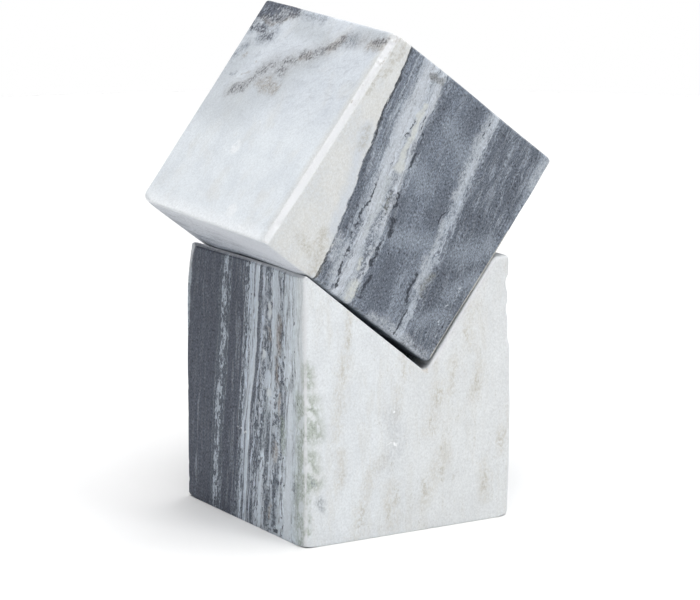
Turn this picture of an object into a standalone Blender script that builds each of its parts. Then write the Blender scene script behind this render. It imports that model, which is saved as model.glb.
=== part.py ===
"""Marble cube resting in a notched marble block.

The object is two pieces of banded marble. The lower one is an upright block with a V-shaped
notch sawn into its top, running from its front face to its back face. The upper one is a near
cube that lies in the notch, tilted, and touches only the notch's two upper arrises.

Metres, +Z up, +X to the right along the block's front face, +Y towards its back. The origin is
the centre of the block's base, which stands on z = 0.
"""
import math

import bmesh
import bpy
from mathutils import Matrix, Vector

OBJECT_NAME = "marble_cube"

# Lower block: its sides, and the heights of its left edge and of its right shelf. The left
# edge is rubbed down towards its back end
BLOCK_WIDTH = 0.100
BLOCK_DEPTH = 0.098
LEFT_HEIGHT = 0.1155
LEFT_BACK_DROP = 0.0025
SHELF_HEIGHT = 0.1114
SHELF_WIDTH = 0.0094

# Notch: how steeply its two walls fall from the upper arrises to the valley
LEFT_WALL_SLOPE = math.radians(40.0)
RIGHT_WALL_SLOPE = math.radians(53.7)

# Upper cube: nearly equal sides, tilted about the front-to-back axis
CUBE_WIDTH = 0.097
CUBE_DEPTH = 0.104
CUBE_HEIGHT = 0.100
CUBE_TILT = math.radians(37.7)

# The cube's bearing lines clear the notch's arrises by this much
BEARING_GAP = 0.0003

# Arrises eased by rubbing: widths of the rounded strips
OUTER_ARRIS = 0.0026
NOTCH_ARRIS = 0.0012
CUBE_ARRIS = 0.0016
CUBE_FRONT_ARRIS = 0.0026
ARRIS_SEGMENTS = 3

WELD_DISTANCE = 0.00001
FLAT_ANGLE = math.radians(1.0)


def clear_scene():
    """Remove every object, so that the script gives the same result each time."""
    for scene_object in list(bpy.data.objects):
        bpy.data.objects.remove(scene_object, do_unlink=True)


def make_material(name, base_color, roughness):
    """Return a Principled material for honed stone."""
    material = bpy.data.materials.new(name)
    material.use_nodes = True
    shader = material.node_tree.nodes["Principled BSDF"]
    shader.inputs["Base Color"].default_value = (*base_color, 1.0)
    shader.inputs["Roughness"].default_value = roughness
    shader.inputs["Metallic"].default_value = 0.0
    return material


def notch_valley():
    """Return the notch's lowest point in the front view, where its two walls meet."""
    left_fall = math.tan(LEFT_WALL_SLOPE)
    right_fall = math.tan(RIGHT_WALL_SLOPE)
    right_arris = BLOCK_WIDTH - SHELF_WIDTH
    from_left = (LEFT_HEIGHT - SHELF_HEIGHT + right_arris * right_fall) / (left_fall + right_fall)
    return from_left - BLOCK_WIDTH / 2, LEFT_HEIGHT - from_left * left_fall


def block_outline():
    """Return the block's front view as named (x, z) corners, anticlockwise from the lower left."""
    half_width = BLOCK_WIDTH / 2
    return {
        "left_foot": (-half_width, 0.0),
        "right_foot": (half_width, 0.0),
        "shelf_end": (half_width, SHELF_HEIGHT),
        "right_arris": (half_width - SHELF_WIDTH, SHELF_HEIGHT),
        "valley": notch_valley(),
        "left_arris": (-half_width, LEFT_HEIGHT),
    }


def extrude_outline(name, corners, depth):
    """Return a mesh object: the outline in the XZ plane, extruded evenly about y = 0."""
    curve = bpy.data.curves.new(name + "_outline", "CURVE")
    curve.dimensions = "2D"
    curve.fill_mode = "BOTH"
    curve.extrude = depth / 2
    spline = curve.splines.new("POLY")
    spline.points.add(len(corners) - 1)
    for point, (x, z) in zip(spline.points, corners):
        point.co = (x, z, 0.0, 1.0)
    spline.use_cyclic_u = True
    outline = bpy.data.objects.new(name + "_outline", curve)
    bpy.context.scene.collection.objects.link(outline)
    evaluated = outline.evaluated_get(bpy.context.evaluated_depsgraph_get())
    mesh = bpy.data.meshes.new_from_object(evaluated)
    mesh.name = name
    bpy.data.objects.remove(outline, do_unlink=True)
    shape = bmesh.new()
    shape.from_mesh(mesh)
    bmesh.ops.remove_doubles(shape, verts=shape.verts, dist=WELD_DISTANCE)
    bmesh.ops.dissolve_limit(shape, angle_limit=FLAT_ANGLE, verts=shape.verts, edges=shape.edges)
    bmesh.ops.rotate(shape, verts=shape.verts, matrix=Matrix.Rotation(math.radians(90), 3, "X"))
    bmesh.ops.recalc_face_normals(shape, faces=shape.faces)
    shape.to_mesh(mesh)
    shape.free()
    return bpy.data.objects.new(name, mesh)


def ease_arrises(stone, width_of_edge):
    """Round each edge by the width that width_of_edge(start, end) gives it, 0 for none."""
    mesh = stone.data
    widths = []
    for edge in mesh.edges:
        start, end = (mesh.vertices[index].co for index in edge.vertices)
        widths.append(width_of_edge(start, end))
    largest = max(widths)
    weights = mesh.attributes.new("bevel_weight_edge", "FLOAT", "EDGE")
    weights.data.foreach_set("value", [width / largest for width in widths])
    bevel = stone.modifiers.new("eased arrises", "BEVEL")
    bevel.limit_method = "WEIGHT"
    bevel.width = largest
    bevel.segments = ARRIS_SEGMENTS


def build_block(collection):
    """Build the lower block, with its notch, eased outer arrises and finer notch arrises."""
    corners = block_outline()
    block = extrude_outline("notched_block", list(corners.values()), BLOCK_DEPTH)

    def corner_name(point):
        return min(corners, key=lambda name: math.dist(corners[name], (point.x, point.z)))

    for vertex in block.data.vertices:
        if vertex.co.y > 0 and corner_name(vertex.co) == "left_arris":
            vertex.co.z -= LEFT_BACK_DROP

    def width_of_edge(start, end):
        ends = {corner_name(start), corner_name(end)}
        if ends == {"valley"}:
            return 0.0
        if ends <= {"left_arris", "valley", "right_arris"}:
            return NOTCH_ARRIS
        return OUTER_ARRIS

    ease_arrises(block, width_of_edge)
    block.data.materials.append(make_material("white_banded_marble", (0.64, 0.66, 0.67), 0.5))
    collection.objects.link(block)
    return block


def cube_centre():
    """Return the centre of the cube, so that it bears on the notch's two upper arrises.

    The cube's underside must pass BEARING_GAP above the left arris, and its right side
    BEARING_GAP short of the right one. That gives its lowest corner along its own two
    directions, and the centre lies half a side from there.
    """
    corners = block_outline()
    along = Vector((math.cos(CUBE_TILT), 0.0, -math.sin(CUBE_TILT)))
    upward = Vector((math.sin(CUBE_TILT), 0.0, math.cos(CUBE_TILT)))
    left_x, left_z = corners["left_arris"]
    right_x, right_z = corners["right_arris"]
    underside = Vector((left_x, 0.0, left_z)).dot(upward) + BEARING_GAP
    right_side = Vector((right_x, 0.0, right_z)).dot(along) - BEARING_GAP
    centre = along * (right_side - CUBE_WIDTH / 2) + upward * (underside + CUBE_HEIGHT / 2)
    centre.y = (CUBE_DEPTH - BLOCK_DEPTH) / 2
    return centre


def build_cube(collection):
    """Build the upper cube, tilted in the notch with its front face flush with the block's."""
    bpy.ops.mesh.primitive_cube_add(size=1.0)
    cube = bpy.context.active_object
    cube.name = "tilted_cube"
    cube.data.name = "tilted_cube"
    cube.data.transform(Matrix.Diagonal((CUBE_WIDTH, CUBE_DEPTH, CUBE_HEIGHT, 1.0)))
    cube.location = cube_centre()
    cube.rotation_euler = (0.0, CUBE_TILT, 0.0)

    def width_of_edge(start, end):
        middle = (start + end) / 2
        is_front_left = middle.x < 0 and middle.y < 0 and abs(middle.z) < WELD_DISTANCE
        return CUBE_FRONT_ARRIS if is_front_left else CUBE_ARRIS

    ease_arrises(cube, width_of_edge)
    cube.data.materials.append(make_material("grey_banded_marble", (0.30, 0.32, 0.35), 0.5))
    for home in list(cube.users_collection):
        home.objects.unlink(cube)
    collection.objects.link(cube)
    return cube


def build():
    """Build both stones in one collection and print how the cube lies."""
    clear_scene()
    collection = bpy.data.collections.new(OBJECT_NAME)
    bpy.context.scene.collection.children.link(collection)
    build_block(collection)
    cube = build_cube(collection)
    print("cube centre", tuple(round(value, 5) for value in cube.location))


build()
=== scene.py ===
# %% [markdown]
# # A marble cube lying in a notched marble block
#
# Two pieces of banded marble stand here as one ornament. The lower block was sawn from a slab whose
# layers run almost parallel to its front face, so the front is one white layer and the side shows
# the whole stack edge on. The upper cube lies tilted in a sawn notch.
#
# This lesson dresses a finished CAD frame. It makes each stone as a grid of points worked out with
# numpy, wears the grid down as rubbing and knocks wear a real stone, and then fills both with a
# solid marble: a pattern that exists all through the stone, so that each layer meets itself again
# round every corner.

# %% Load the frame
import math

import bpy
import numpy as np
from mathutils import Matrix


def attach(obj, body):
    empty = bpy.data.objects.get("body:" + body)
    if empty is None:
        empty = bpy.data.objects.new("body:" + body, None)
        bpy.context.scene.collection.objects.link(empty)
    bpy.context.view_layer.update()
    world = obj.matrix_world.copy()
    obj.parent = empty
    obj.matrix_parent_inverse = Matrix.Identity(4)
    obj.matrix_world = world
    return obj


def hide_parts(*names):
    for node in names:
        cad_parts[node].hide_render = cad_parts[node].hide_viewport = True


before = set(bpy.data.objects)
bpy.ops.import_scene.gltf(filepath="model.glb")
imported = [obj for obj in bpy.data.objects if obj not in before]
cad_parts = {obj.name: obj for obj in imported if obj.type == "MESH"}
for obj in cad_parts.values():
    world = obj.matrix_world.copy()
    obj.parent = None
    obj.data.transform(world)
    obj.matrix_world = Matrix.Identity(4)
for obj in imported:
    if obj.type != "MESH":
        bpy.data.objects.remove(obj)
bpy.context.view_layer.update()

# %% [markdown]
# ## Where each stone's own axes lie
#
# A mason measures a stone from its own corner, in millimetres. Each stone therefore gets a corner
# and three directions: across its front face, back into its depth, and up its front face. For the
# block they are the world's. The cube is turned in the notch, so its first and third directions
# are turned with it. The sides are read from the CAD nodes, along those directions.

# %% Stone axes
MM = 0.001
CUBE_TILT = math.radians(37.7)


def stone_axes(turn):
    """Return three directions as rows: the world's X, Y and Z, turned clockwise as seen in front."""
    across = (math.cos(turn), 0.0, -math.sin(turn))
    up = (math.sin(turn), 0.0, math.cos(turn))
    return np.array([across, (0.0, 1.0, 0.0), up])


def stone_frame(node, turn):
    """Return a stone's corner (m), its three directions as rows, and its three sides (mm).

    The node's vertices are projected on each direction, and the least and greatest values give
    the corner and the sides.
    """
    axes = stone_axes(turn)
    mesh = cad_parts[node].data
    points = np.empty(len(mesh.vertices) * 3)
    mesh.vertices.foreach_get("co", points)
    along = points.reshape(-1, 3) @ axes.T
    return along.min(0) @ axes, axes, np.ptp(along, axis=0) / MM


block_corner, block_axes, block_size = stone_frame("notched_block", 0.0)
cube_corner, cube_axes, cube_size = stone_frame("tilted_cube", CUBE_TILT)
print("block sides in mm:", block_size.round(1), "cube sides in mm:", cube_size.round(1))

# %% [markdown]
# ## Wear as a distance
#
# A sawn face is a plane, and a plane gives every point a signed distance: below zero inside the
# stone, above zero outside. Where two faces meet, the stone is inside both, so its distance is the
# larger of the two. If that "larger of" is softened, the sharp arris comes out rubbed round. The
# mesh starts as the sharp stone and only has to slide onto the zero: inwards nearly everywhere, and
# a little outwards where a face swells.

# %% Distances and noise
LATTICE = 48


def soft_max(first, second, width):
    """Return the larger of two distances, its corner rounded.

    Where the two differ by less than `width`, a quarter of the width times the square of their
    closeness is added, which gives a smooth curve from one face to the other.
    """
    close = np.maximum(width - np.abs(first - second), 0.0) / width
    return np.maximum(first, second) + width * close**2 / 4


def lattice_noise(points, cell, seed):
    """Return smooth random values from -1 to 1.

    Random numbers sit on a cubic lattice with `cell` mm between neighbours. A point takes the mean
    of its eight nearest, each weighted by a smooth step along the three axes.
    """
    table = np.random.default_rng(seed).uniform(-1.0, 1.0, (LATTICE,) * 3)
    base = np.floor(points / cell).astype(int)
    step = points / cell - base
    step = step**2 * (3 - 2 * step)
    value = 0.0
    for corner in np.ndindex(2, 2, 2):
        weight = np.prod(np.where(corner, step, 1 - step), axis=-1)
        index = (base + corner) % LATTICE
        value = value + weight * table[index[..., 0], index[..., 1], index[..., 2]]
    return value


def ramp(value, start, end):
    """Return 0 before start, 1 past end, and a smooth step between. Start may be the larger."""
    share = np.clip((value - start) / (end - start), 0.0, 1.0)
    return share**2 * (3 - 2 * share)


print("an arris softened over 2 mm loses", soft_max(0.0, 0.0, 2.0), "mm")

# %% Rubbing down
RUB_STEPS = 20
UNEVEN = 0.3
HAND_WOBBLE = 0.12
UNEVEN_CELL = 12.0
WOBBLE_CELL = 25.0


def rub_down(distance, start, inward, seed):
    """Slide each start point along its inward direction until its distance reads zero.

    The distance left over is added to the way gone so far, again and again, and shrinks by a third
    or more each time. `distance` also gets a factor about 1, UNEVEN more or less, that makes the
    rounding uneven, as hand rubbing is, and the faces themselves dip by up to HAND_WOBBLE.
    """
    uneven = 1.0 + UNEVEN * lattice_noise(start, UNEVEN_CELL, seed)
    dips = HAND_WOBBLE * (0.5 + 0.5 * lattice_noise(start, WOBBLE_CELL, seed + 1))
    depth = np.zeros(len(start))
    for _ in range(RUB_STEPS):
        depth += distance(start + depth[:, None] * inward, uneven) + dips
    print("deepest wear:", round(float(depth.max()), 2), "mm")
    return depth


# %% [markdown]
# ## Knocks along the arrises
#
# Marble is soft and its arrises chip. Each chip is shallow and round-bottomed, like a shell. A ball
# of a few millimetres, set so that it only just dips into the arris, leaves that mark. The places
# are drawn with a seeded generator, so they are the same each time.

# %% Knocks
KNOCK_RADIUS = (0.9, 3.6)
KNOCK_RIM = 0.35
KNOCK_STEPS = 12
KNOCK_SPAN = (0.03, 0.97)


def knocks_along(start, end, outward, count, seed, depths=(0.0, 0.4)):
    """Return `count` balls (centre and radius, mm) that dip into the arris from start to end.

    A ball's centre lies off the sharp line along `outward`, by its radius less a depth drawn from
    `depths`. Where an arris is already rubbed far down, its knocks need the greater depths.
    """
    random = np.random.default_rng(seed)
    start, end, outward = (np.asarray(value, float) for value in (start, end, outward))
    outward = outward / np.linalg.norm(outward)
    share = random.uniform(*KNOCK_SPAN, (count, 1))
    radius = random.uniform(*KNOCK_RADIUS, (count, 1))
    depth = random.uniform(*depths, (count, 1))
    centre = start + share * (end - start) + outward * (radius - depth)
    return np.hstack([centre, radius])


def knock(points, inward, balls):
    """Take the balls out of the stone one by one, and return how far each point went in.

    Only the points near a ball move. They slide inwards until they are outside it, and the soft
    larger of that and of the way back keeps the rim of the chip from being knife sharp.
    """
    depth = np.zeros(len(points))
    for x, y, z, radius in balls:
        place = points + depth[:, None] * inward
        near = np.flatnonzero(np.abs(place - (x, y, z)).max(1) < radius + KNOCK_RIM)
        moved = np.zeros(len(near))
        for _ in range(KNOCK_STEPS):
            inside = radius - np.linalg.norm(
                place[near] + moved[:, None] * inward[near] - (x, y, z), axis=1
            )
            moved += soft_max(-moved, inside, KNOCK_RIM)
        depth[near] += np.maximum(moved, 0.0)
    return depth


print("a knock is", 2 * KNOCK_RADIUS[0], "to", 2 * KNOCK_RADIUS[1], "mm across its ball")

# %% [markdown]
# ## The lower block
#
# The block was sawn square, and then the notch was cut by two passes of a saw. A profile carried
# along the depth suits it: the front outline is walked point by point, and the same walk is laid
# down at each depth. The two end faces are that outline again, drawn in towards one point from
# which all of it can be seen.

# %% Block outline
LEFT_HEIGHT = 115.5
LEFT_BACK_DROP = 2.5
SHELF_HEIGHT = 111.4
SHELF_WIDTH = 9.4
LEFT_WALL_SLOPE = math.radians(40.0)
RIGHT_WALL_SLOPE = math.radians(53.7)
BLOCK_SPACING = 0.84
MITRE_REACH = 6.0

block_width, block_depth = block_size[0], block_size[1]
right_arris = block_width - SHELF_WIDTH
valley_x = (LEFT_HEIGHT - SHELF_HEIGHT + right_arris * math.tan(RIGHT_WALL_SLOPE)) / (
    math.tan(LEFT_WALL_SLOPE) + math.tan(RIGHT_WALL_SLOPE)
)
valley_z = LEFT_HEIGHT - valley_x * math.tan(LEFT_WALL_SLOPE)
OUTLINE = np.array(
    [
        (0.0, 0.0),
        (block_width, 0.0),
        (block_width, SHELF_HEIGHT),
        (right_arris, SHELF_HEIGHT),
        (valley_x, valley_z),
        (0.0, LEFT_HEIGHT),
    ]
)
OUTLINE_HEART = np.array([block_width * 0.5, LEFT_HEIGHT * 0.3])
print("notch valley at", round(valley_x, 1), round(valley_z, 1), "mm")


def spread(length, spacing, crowding=0.4):
    """Return places from 0 to length, about `spacing` apart, closer together near both ends.

    An even share t is moved by -crowding * sin(2 pi t) / (2 pi), which packs the ends.
    """
    count = max(2, round(length / spacing))
    share = np.linspace(0.0, 1.0, count + 1)
    return length * (share - crowding * np.sin(2 * math.pi * share) / (2 * math.pi))


def walk_outline(corners, spacing, reach):
    """Return points round a closed outline and the outward direction at each.

    Each side is walked with spread(). Within `reach` of a corner the direction leans towards the
    next side's, and at the corner it is midway, so both sides agree there.
    """
    points, outwards = [], []
    sides = np.roll(corners, -1, axis=0) - corners
    lengths = np.linalg.norm(sides, axis=1)
    normals = np.stack([sides[:, 1], -sides[:, 0]], 1) / lengths[:, None]
    for index, (corner, side, length) in enumerate(zip(corners, sides, lengths)):
        along = spread(length, spacing)[:-1, None]
        points.append(corner + along / length * side)
        outward = normals[index] + normals[index - 1] * np.maximum(0, 1 - along / reach)
        following = normals[(index + 1) % len(corners)]
        outward = outward + following * np.maximum(0, 1 - (length - along) / reach)
        outwards.append(outward / np.linalg.norm(outward, axis=1, keepdims=True))
    return np.concatenate(points), np.concatenate(outwards)


# %% [markdown]
# ## How the block was worn
#
# Every arris was eased by hand, but not alike: the notch's stayed nearly sharp and the outer ones
# are two or three millimetres round. The left one, where the cube bears, sank towards the rear and
# was crushed to a narrow bevel. A sliver broke off behind it, and the right side leans in a little.
# Each of these is a number or two here, and the distance below turns them all into one shape. A
# modifier such as Bevel would round every arris evenly, and a new stone would come out.

# %% Block wear
OUTER_ROUND = 3.2
FRONT_LEFT_ROUND = 2.4
REAR_LEFT_ROUND = 1.5
FOOT_ROUND = 0.4
FOOT_CORNER_ROUND = 2.4
FOOT_CORNER_SPAN = (8.0, 1.0)
NOTCH_ROUND = 0.8
SHELF_ROUND = 1.4
RIGHT_WALL_ROUND = 2.6
SHELF_END_ROUND = 2.2
VALLEY_FILL = 3.4
# The sliver broken off the rear left arris
SLIVER_TURN = math.radians(20)
SLIVER_REACH = 11.5
SLIVER_FROM = 80.0
SLIVER_CURVE = 1.7
SLIVER_ROUND = 0.6
# How the right side leans in above and below, and between which heights
RIGHT_TAPER = 1.1
TAPER_ABOVE = (72.0, 76.0)
TAPER_BELOW = (26.0, 6.0)
FOOT_TAPER_SHARE = 0.4
# How the left arris sank, and the bevel crushed into it: its height in front and at the rear
LEFT_SUNK = 0.8
LEFT_DROP_CURVE = 1.6
BEVEL_HEIGHT = (2.2, 2.8)
BEVEL_SLOPE = math.radians(38)
BEVEL_UNEVEN = 0.6
BEVEL_ROUND = 0.3


def right_lean(z):
    """Return how far the right side leans in, in mm: near its top, and less at its foot."""
    return RIGHT_TAPER * (ramp(z, *TAPER_ABOVE) + FOOT_TAPER_SHARE * ramp(z, *TAPER_BELOW))


def left_sunk(y):
    """Return how far the left arris has sunk, in mm: LEFT_SUNK, and more and more to the rear."""
    to_rear = np.clip(y / block_depth, 0.0, 1.0)
    return LEFT_SUNK + LEFT_BACK_DROP * to_rear**LEFT_DROP_CURVE


print("left arris sunk by", left_sunk(0.0), "mm in front,", left_sunk(block_depth), "mm at the rear")

# %% Block knocks
# An arris is its two ends in mm, the way out of the stone, how many knocks, a seed and their depths
BLOCK_ARRISES = [
    ((0, 0, LEFT_HEIGHT), (0, 98, 113), (-1, 0, 0.6), 18, 11, (1.3, 2.1)),
    ((0, 0, 4), (0, 0, 112), (-1, -1, 0), 14, 12),
    ((0, 98, 4), (0, 98, 110), (-1, 1, 0), 16, 13, (0.3, 1.1)),
    ((100, 0, 4), (100, 0, 108), (1, -1, 0), 14, 14),
    ((100, 98, 4), (100, 98, 108), (1, 1, 0), 12, 15),
    ((4, 0, 0), (96, 0, 0), (0, -1, -1), 5, 16),
    ((0, 4, 0), (0, 94, 0), (-1, 0, -1), 5, 17),
    ((100, 4, 0), (100, 94, 0), (1, 0, -1), 5, 18),
    ((4, 98, 0), (96, 98, 0), (0, 1, -1), 5, 19),
    ((0, 0, LEFT_HEIGHT), (valley_x, 0, valley_z), (0, -1, 1), 16, 20),
    ((valley_x, 0, valley_z), (91, 0, 111), (0, -1, 1), 10, 21),
    ((91, 0, 111.4), (91, 98, 111.4), (-0.3, 0, 1), 10, 22),
    ((91, 0, 111.4), (100, 0, 111.4), (0, -1, 1), 3, 23),
]
# The two large chips on the right front arris: centre and radius
BIG_CHIPS = [(101.6, -1.4, 99.2, 5.6), (101.6, -1.4, 88.4, 5.3)]

block_knocks = np.concatenate([knocks_along(*arris) for arris in BLOCK_ARRISES] + [BIG_CHIPS])
print(len(block_knocks), "knocks on the block")


# %% Block distance
def block_distance(points, uneven):
    """Return the rubbed block's signed distance at points given in its own millimetres.

    It is the soft larger of the five outer planes and of the roof. The roof is the higher of the
    left wall's plane and of the right wall with its shelf, since the stone lies under either. The
    left wall's upper arris was let down by left_sunk() and has a bevel crushed into it. The right
    side leans in by right_lean(). One more surface takes a thin sliver off the rear left arris,
    wider towards the top. The foot is sharp but for its four corners.
    """
    x, y, z = np.moveaxis(points, -1, 0)
    sides = soft_max(-x, -y, FRONT_LEFT_ROUND * uneven)
    sides = soft_max(sides, x - block_width + right_lean(z), OUTER_ROUND * uneven)
    rear_round = np.where(x < block_width / 2, REAR_LEFT_ROUND, OUTER_ROUND)
    sides = soft_max(sides, y - block_depth, rear_round * uneven)
    above = np.maximum(z - SLIVER_FROM, 0.0) / (LEFT_HEIGHT - SLIVER_FROM)
    turn_x, turn_y = math.cos(SLIVER_TURN), math.sin(SLIVER_TURN)
    sliver = -x * turn_x + (y - block_depth + SLIVER_REACH * above**SLIVER_CURVE) * turn_y
    sides = soft_max(sides, sliver, SLIVER_ROUND)
    left_top = LEFT_HEIGHT - left_sunk(y)
    wall_z = left_top + (valley_z - left_top) * x / valley_x
    left_wall = (z - wall_z) * math.cos(LEFT_WALL_SLOPE)
    right_wall = (z - SHELF_HEIGHT) * math.cos(RIGHT_WALL_SLOPE) - (
        x - right_arris
    ) * math.sin(RIGHT_WALL_SLOPE)
    shelf = soft_max(right_wall, z - SHELF_HEIGHT, SHELF_ROUND * uneven)
    roof = -soft_max(-left_wall, -shelf, VALLEY_FILL)
    on_shelf = ramp(x, block_width - 6.0, block_width - 2.0)
    on_right_wall = ramp(x, valley_x + 1.0, valley_x + 7.0)
    roof_round = NOTCH_ROUND + (RIGHT_WALL_ROUND - NOTCH_ROUND) * on_right_wall
    roof_round = roof_round + (SHELF_END_ROUND - RIGHT_WALL_ROUND) * on_shelf
    stone = soft_max(sides, roof, roof_round * uneven)
    bevel = np.interp(y, (0.0, block_depth), BEVEL_HEIGHT) * (1 + BEVEL_UNEVEN * (uneven - 1))
    crushed = (z - left_top + bevel) * math.cos(BEVEL_SLOPE) - x * math.sin(BEVEL_SLOPE)
    stone = soft_max(stone, crushed, BEVEL_ROUND)
    to_side = np.minimum(x, block_width - x)
    to_end = np.minimum(y, block_depth - y)
    at_corner = ramp(to_side, *FOOT_CORNER_SPAN) * ramp(to_end, *FOOT_CORNER_SPAN)
    foot_round = FOOT_ROUND + (FOOT_CORNER_ROUND - FOOT_ROUND) * at_corner
    return soft_max(stone, -z, foot_round * uneven)


inner_point = np.array([[block_width / 2, block_depth / 2, 20.0]])
print("20 mm up the middle, the distance is", round(float(block_distance(inner_point, 1.0)[0]), 2))


# %% Settling
def settle(points):
    """Return the sharp block's points, its left arris let down by left_sunk(y).

    The way down shrinks in a straight line towards the foot and towards the valley. Without this,
    the points at the arris would start above the worn notch wall and slide along it for ever.
    """
    x, y, z = points.T
    share = np.clip(1 - x / valley_x, 0.0, 1.0) * z / LEFT_HEIGHT
    return points - np.stack([0 * x, 0 * y, left_sunk(y) * share], 1)


rear_arris = np.array([[0.0, block_depth, LEFT_HEIGHT]])
print("the rear left arris starts at height", round(float(settle(rear_arris)[0, 2]), 2), "mm")


# %% [markdown]
# ## From grids of points to a closed mesh
#
# A stone is covered by grids of points, and two grids that meet have the same points along their
# common arris. Those are merged, which closes the seams, so the piece is one watertight solid that
# could be printed or milled.

# %% Mesh from a grid
def make_piece(name, corner, axes, start, worn, faces, arris_wear):
    """Make a mesh object from worn points in a stone's own millimetres, its seams merged.

    Points that start at one place, to a thousandth of a millimetre, are one vertex. How far its
    arris was worn down, from 0 to 1 mm, is kept as the attribute `wear`, which the stone's finish
    reads.
    """
    keys = np.round(start * 1000).astype(np.int64)
    _, first, merged = np.unique(keys, axis=0, return_index=True, return_inverse=True)
    merged = merged.reshape(-1)
    world = corner + worn[first] @ axes * MM
    corners = [corner_list for grid in faces for corner_list in merged[grid].tolist()]
    mesh = bpy.data.meshes.new(name)
    mesh.from_pydata(world.tolist(), [], corners)
    wear = mesh.attributes.new("wear", "FLOAT", "POINT")
    wear.data.foreach_set("value", np.clip(arris_wear[first], 0.0, 1.0))
    mesh.shade_smooth()
    piece = bpy.data.objects.new(name, mesh)
    bpy.context.scene.collection.objects.link(piece)
    print(name, len(mesh.vertices), "vertices,", len(mesh.polygons), "faces")
    return piece


def grid_quads(rows, columns, offset=0, closed=False, flip=False):
    """Return the quads of a grid of points, numbered row by row from `offset`.

    A closed grid joins its last column to its first. `flip` turns the faces over.
    """
    number = offset + np.arange(rows * columns).reshape(rows, columns)
    if closed:
        number = np.hstack([number, number[:, :1]])
    corners = [number[:-1, :-1], number[:-1, 1:], number[1:, 1:], number[1:, :-1]]
    if flip:
        corners.reverse()
    return np.stack(corners, -1).reshape(-1, 4)


print("a grid of 3 by 4 points has", len(grid_quads(3, 4)), "quads")

# %% Block mesh
ON_FACE = 0.01
# How far each ring of an end face is drawn in, closest together at the rim
RING_SHARES = np.array(
    [0.0, 0.008, 0.017, 0.028, 0.041, 0.057, 0.077, 0.1, 0.13, 0.17, 0.22, 0.28, 0.36, 0.46]
    + [0.58, 0.72, 0.87]
)


def block_grid():
    """Return the sharp block's points, their inward directions and the faces.

    The side band is the outline at each depth. Each end is the outline drawn in towards the heart
    by the ring shares, and closed by the heart. Within MITRE_REACH of an end the directions lean
    outwards too, so that band and end agree on their common edge. Last, the left arris settles.
    """
    outline, outward = walk_outline(OUTLINE, BLOCK_SPACING, MITRE_REACH)
    depths = spread(block_depth, BLOCK_SPACING)
    count, rings = len(outline), len(RING_SHARES)

    def at_depth(flat, y):
        """Return points, or directions, of the outline as places in the stone at depth y."""
        return np.stack(np.broadcast_arrays(flat[..., 0], y, flat[..., 1]), -1).reshape(-1, 3)

    from_front = np.maximum(0, 1 - depths / MITRE_REACH)
    from_rear = np.maximum(0, 1 - (block_depth - depths) / MITRE_REACH)
    points = [at_depth(outline[None], depths[:, None])]
    outwards = [at_depth(outward[None], (from_rear - from_front)[:, None])]
    faces = [grid_quads(len(depths), count, closed=True, flip=True)]
    offset = len(depths) * count
    to_heart = OUTLINE_HEART - outline
    gap = np.abs((to_heart * outward).sum(1))
    shares = RING_SHARES[:, None]
    near_side = np.maximum(0, 1 - shares * gap / MITRE_REACH)[..., None]
    for y, facing in ((0.0, -1.0), (block_depth, 1.0)):
        points += [at_depth(outline + shares[..., None] * to_heart, y)]
        points += [at_depth(OUTLINE_HEART, y)]
        outwards += [at_depth(outward * near_side, facing), at_depth(np.zeros(2), facing)]
        faces.append(grid_quads(rings, count, offset, closed=True, flip=facing > 0))
        last = offset + (rings - 1) * count + np.arange(count)
        offset += rings * count
        fan = np.stack([last, np.roll(last, -1), np.full(count, offset)], 1)
        faces.append(fan[:, ::-1] if facing > 0 else fan)
        offset += 1
    outwards = np.concatenate(outwards)
    inward = -outwards / np.linalg.norm(outwards, axis=1, keepdims=True)
    return settle(np.concatenate(points)), inward, faces


start, inward, faces = block_grid()
depth = rub_down(block_distance, start, inward, 1)
depth += knock(start + depth[:, None] * inward, inward, block_knocks)
worn = start + depth[:, None] * inward
arris_wear = depth - right_lean(start[:, 2]) * (start[:, 0] > block_width - ON_FACE)
block = make_piece("notched_block_stone", block_corner, block_axes, start, worn, faces, arris_wear)

# %% [markdown]
# ## The upper cube
#
# The cube was sawn on six sides and rubbed by hand. Six grids make it, one to a side. The arris at
# its front left was rubbed down to a narrow flat strip, which eats further into the front face as
# it rises. That strip is one more surface among the distances, and so is a thinner one along the
# foot of the front face. The sole isn't quite flat: it swells where it bears on the block.

# %% Cube wear
CUBE_SPACING = 0.82
CUBE_ROUND = 2.0
RIGHT_ROUND = 0.9
SOLE_ROUND = 0.5
REAR_TIP_ROUND = 4.6
REAR_TIP_LENGTH = 11.0
LOWEST_ROUND = 3.2
TOP_ROUND = 1.6
TOP_RIGHT_ROUND = 3.0
TOP_SAG = 0.75
SAG_SPAN = (25.0, 100.0)
# How the sole swells towards the block, in mm: at its left arris, and then the change from one
# place to the next on its way to the right
SWELL_AT_LEFT = 0.5
SWELL_STEPS = [(0.0, 20.0, 0.7), (36.0, 50.0, -0.8), (60.0, 80.0, -0.4)]
# The strip's width on the front face and on the white side, at three heights
STRIP_HEIGHTS = (0.0, 30.0, 80.0)
STRIP_ON_FRONT = (1.4, 2.2, 3.3)
STRIP_ON_WHITE = (3.6, 1.8, 0.8)
STRIP_ROUND = 0.35
# The strip along the foot of the front face widens between two places
FOOT_STRIP_PLACES = (62.0, 76.0)
FOOT_STRIP = (0.3, 1.2)
FOOT_STRIP_ROUND = 0.4

p_side, y_side, w_side = cube_size


def top_sag(p):
    """Return how far the cube's top has sagged, in mm: more and more towards its right end."""
    return TOP_SAG * ramp(p, *SAG_SPAN)


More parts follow.
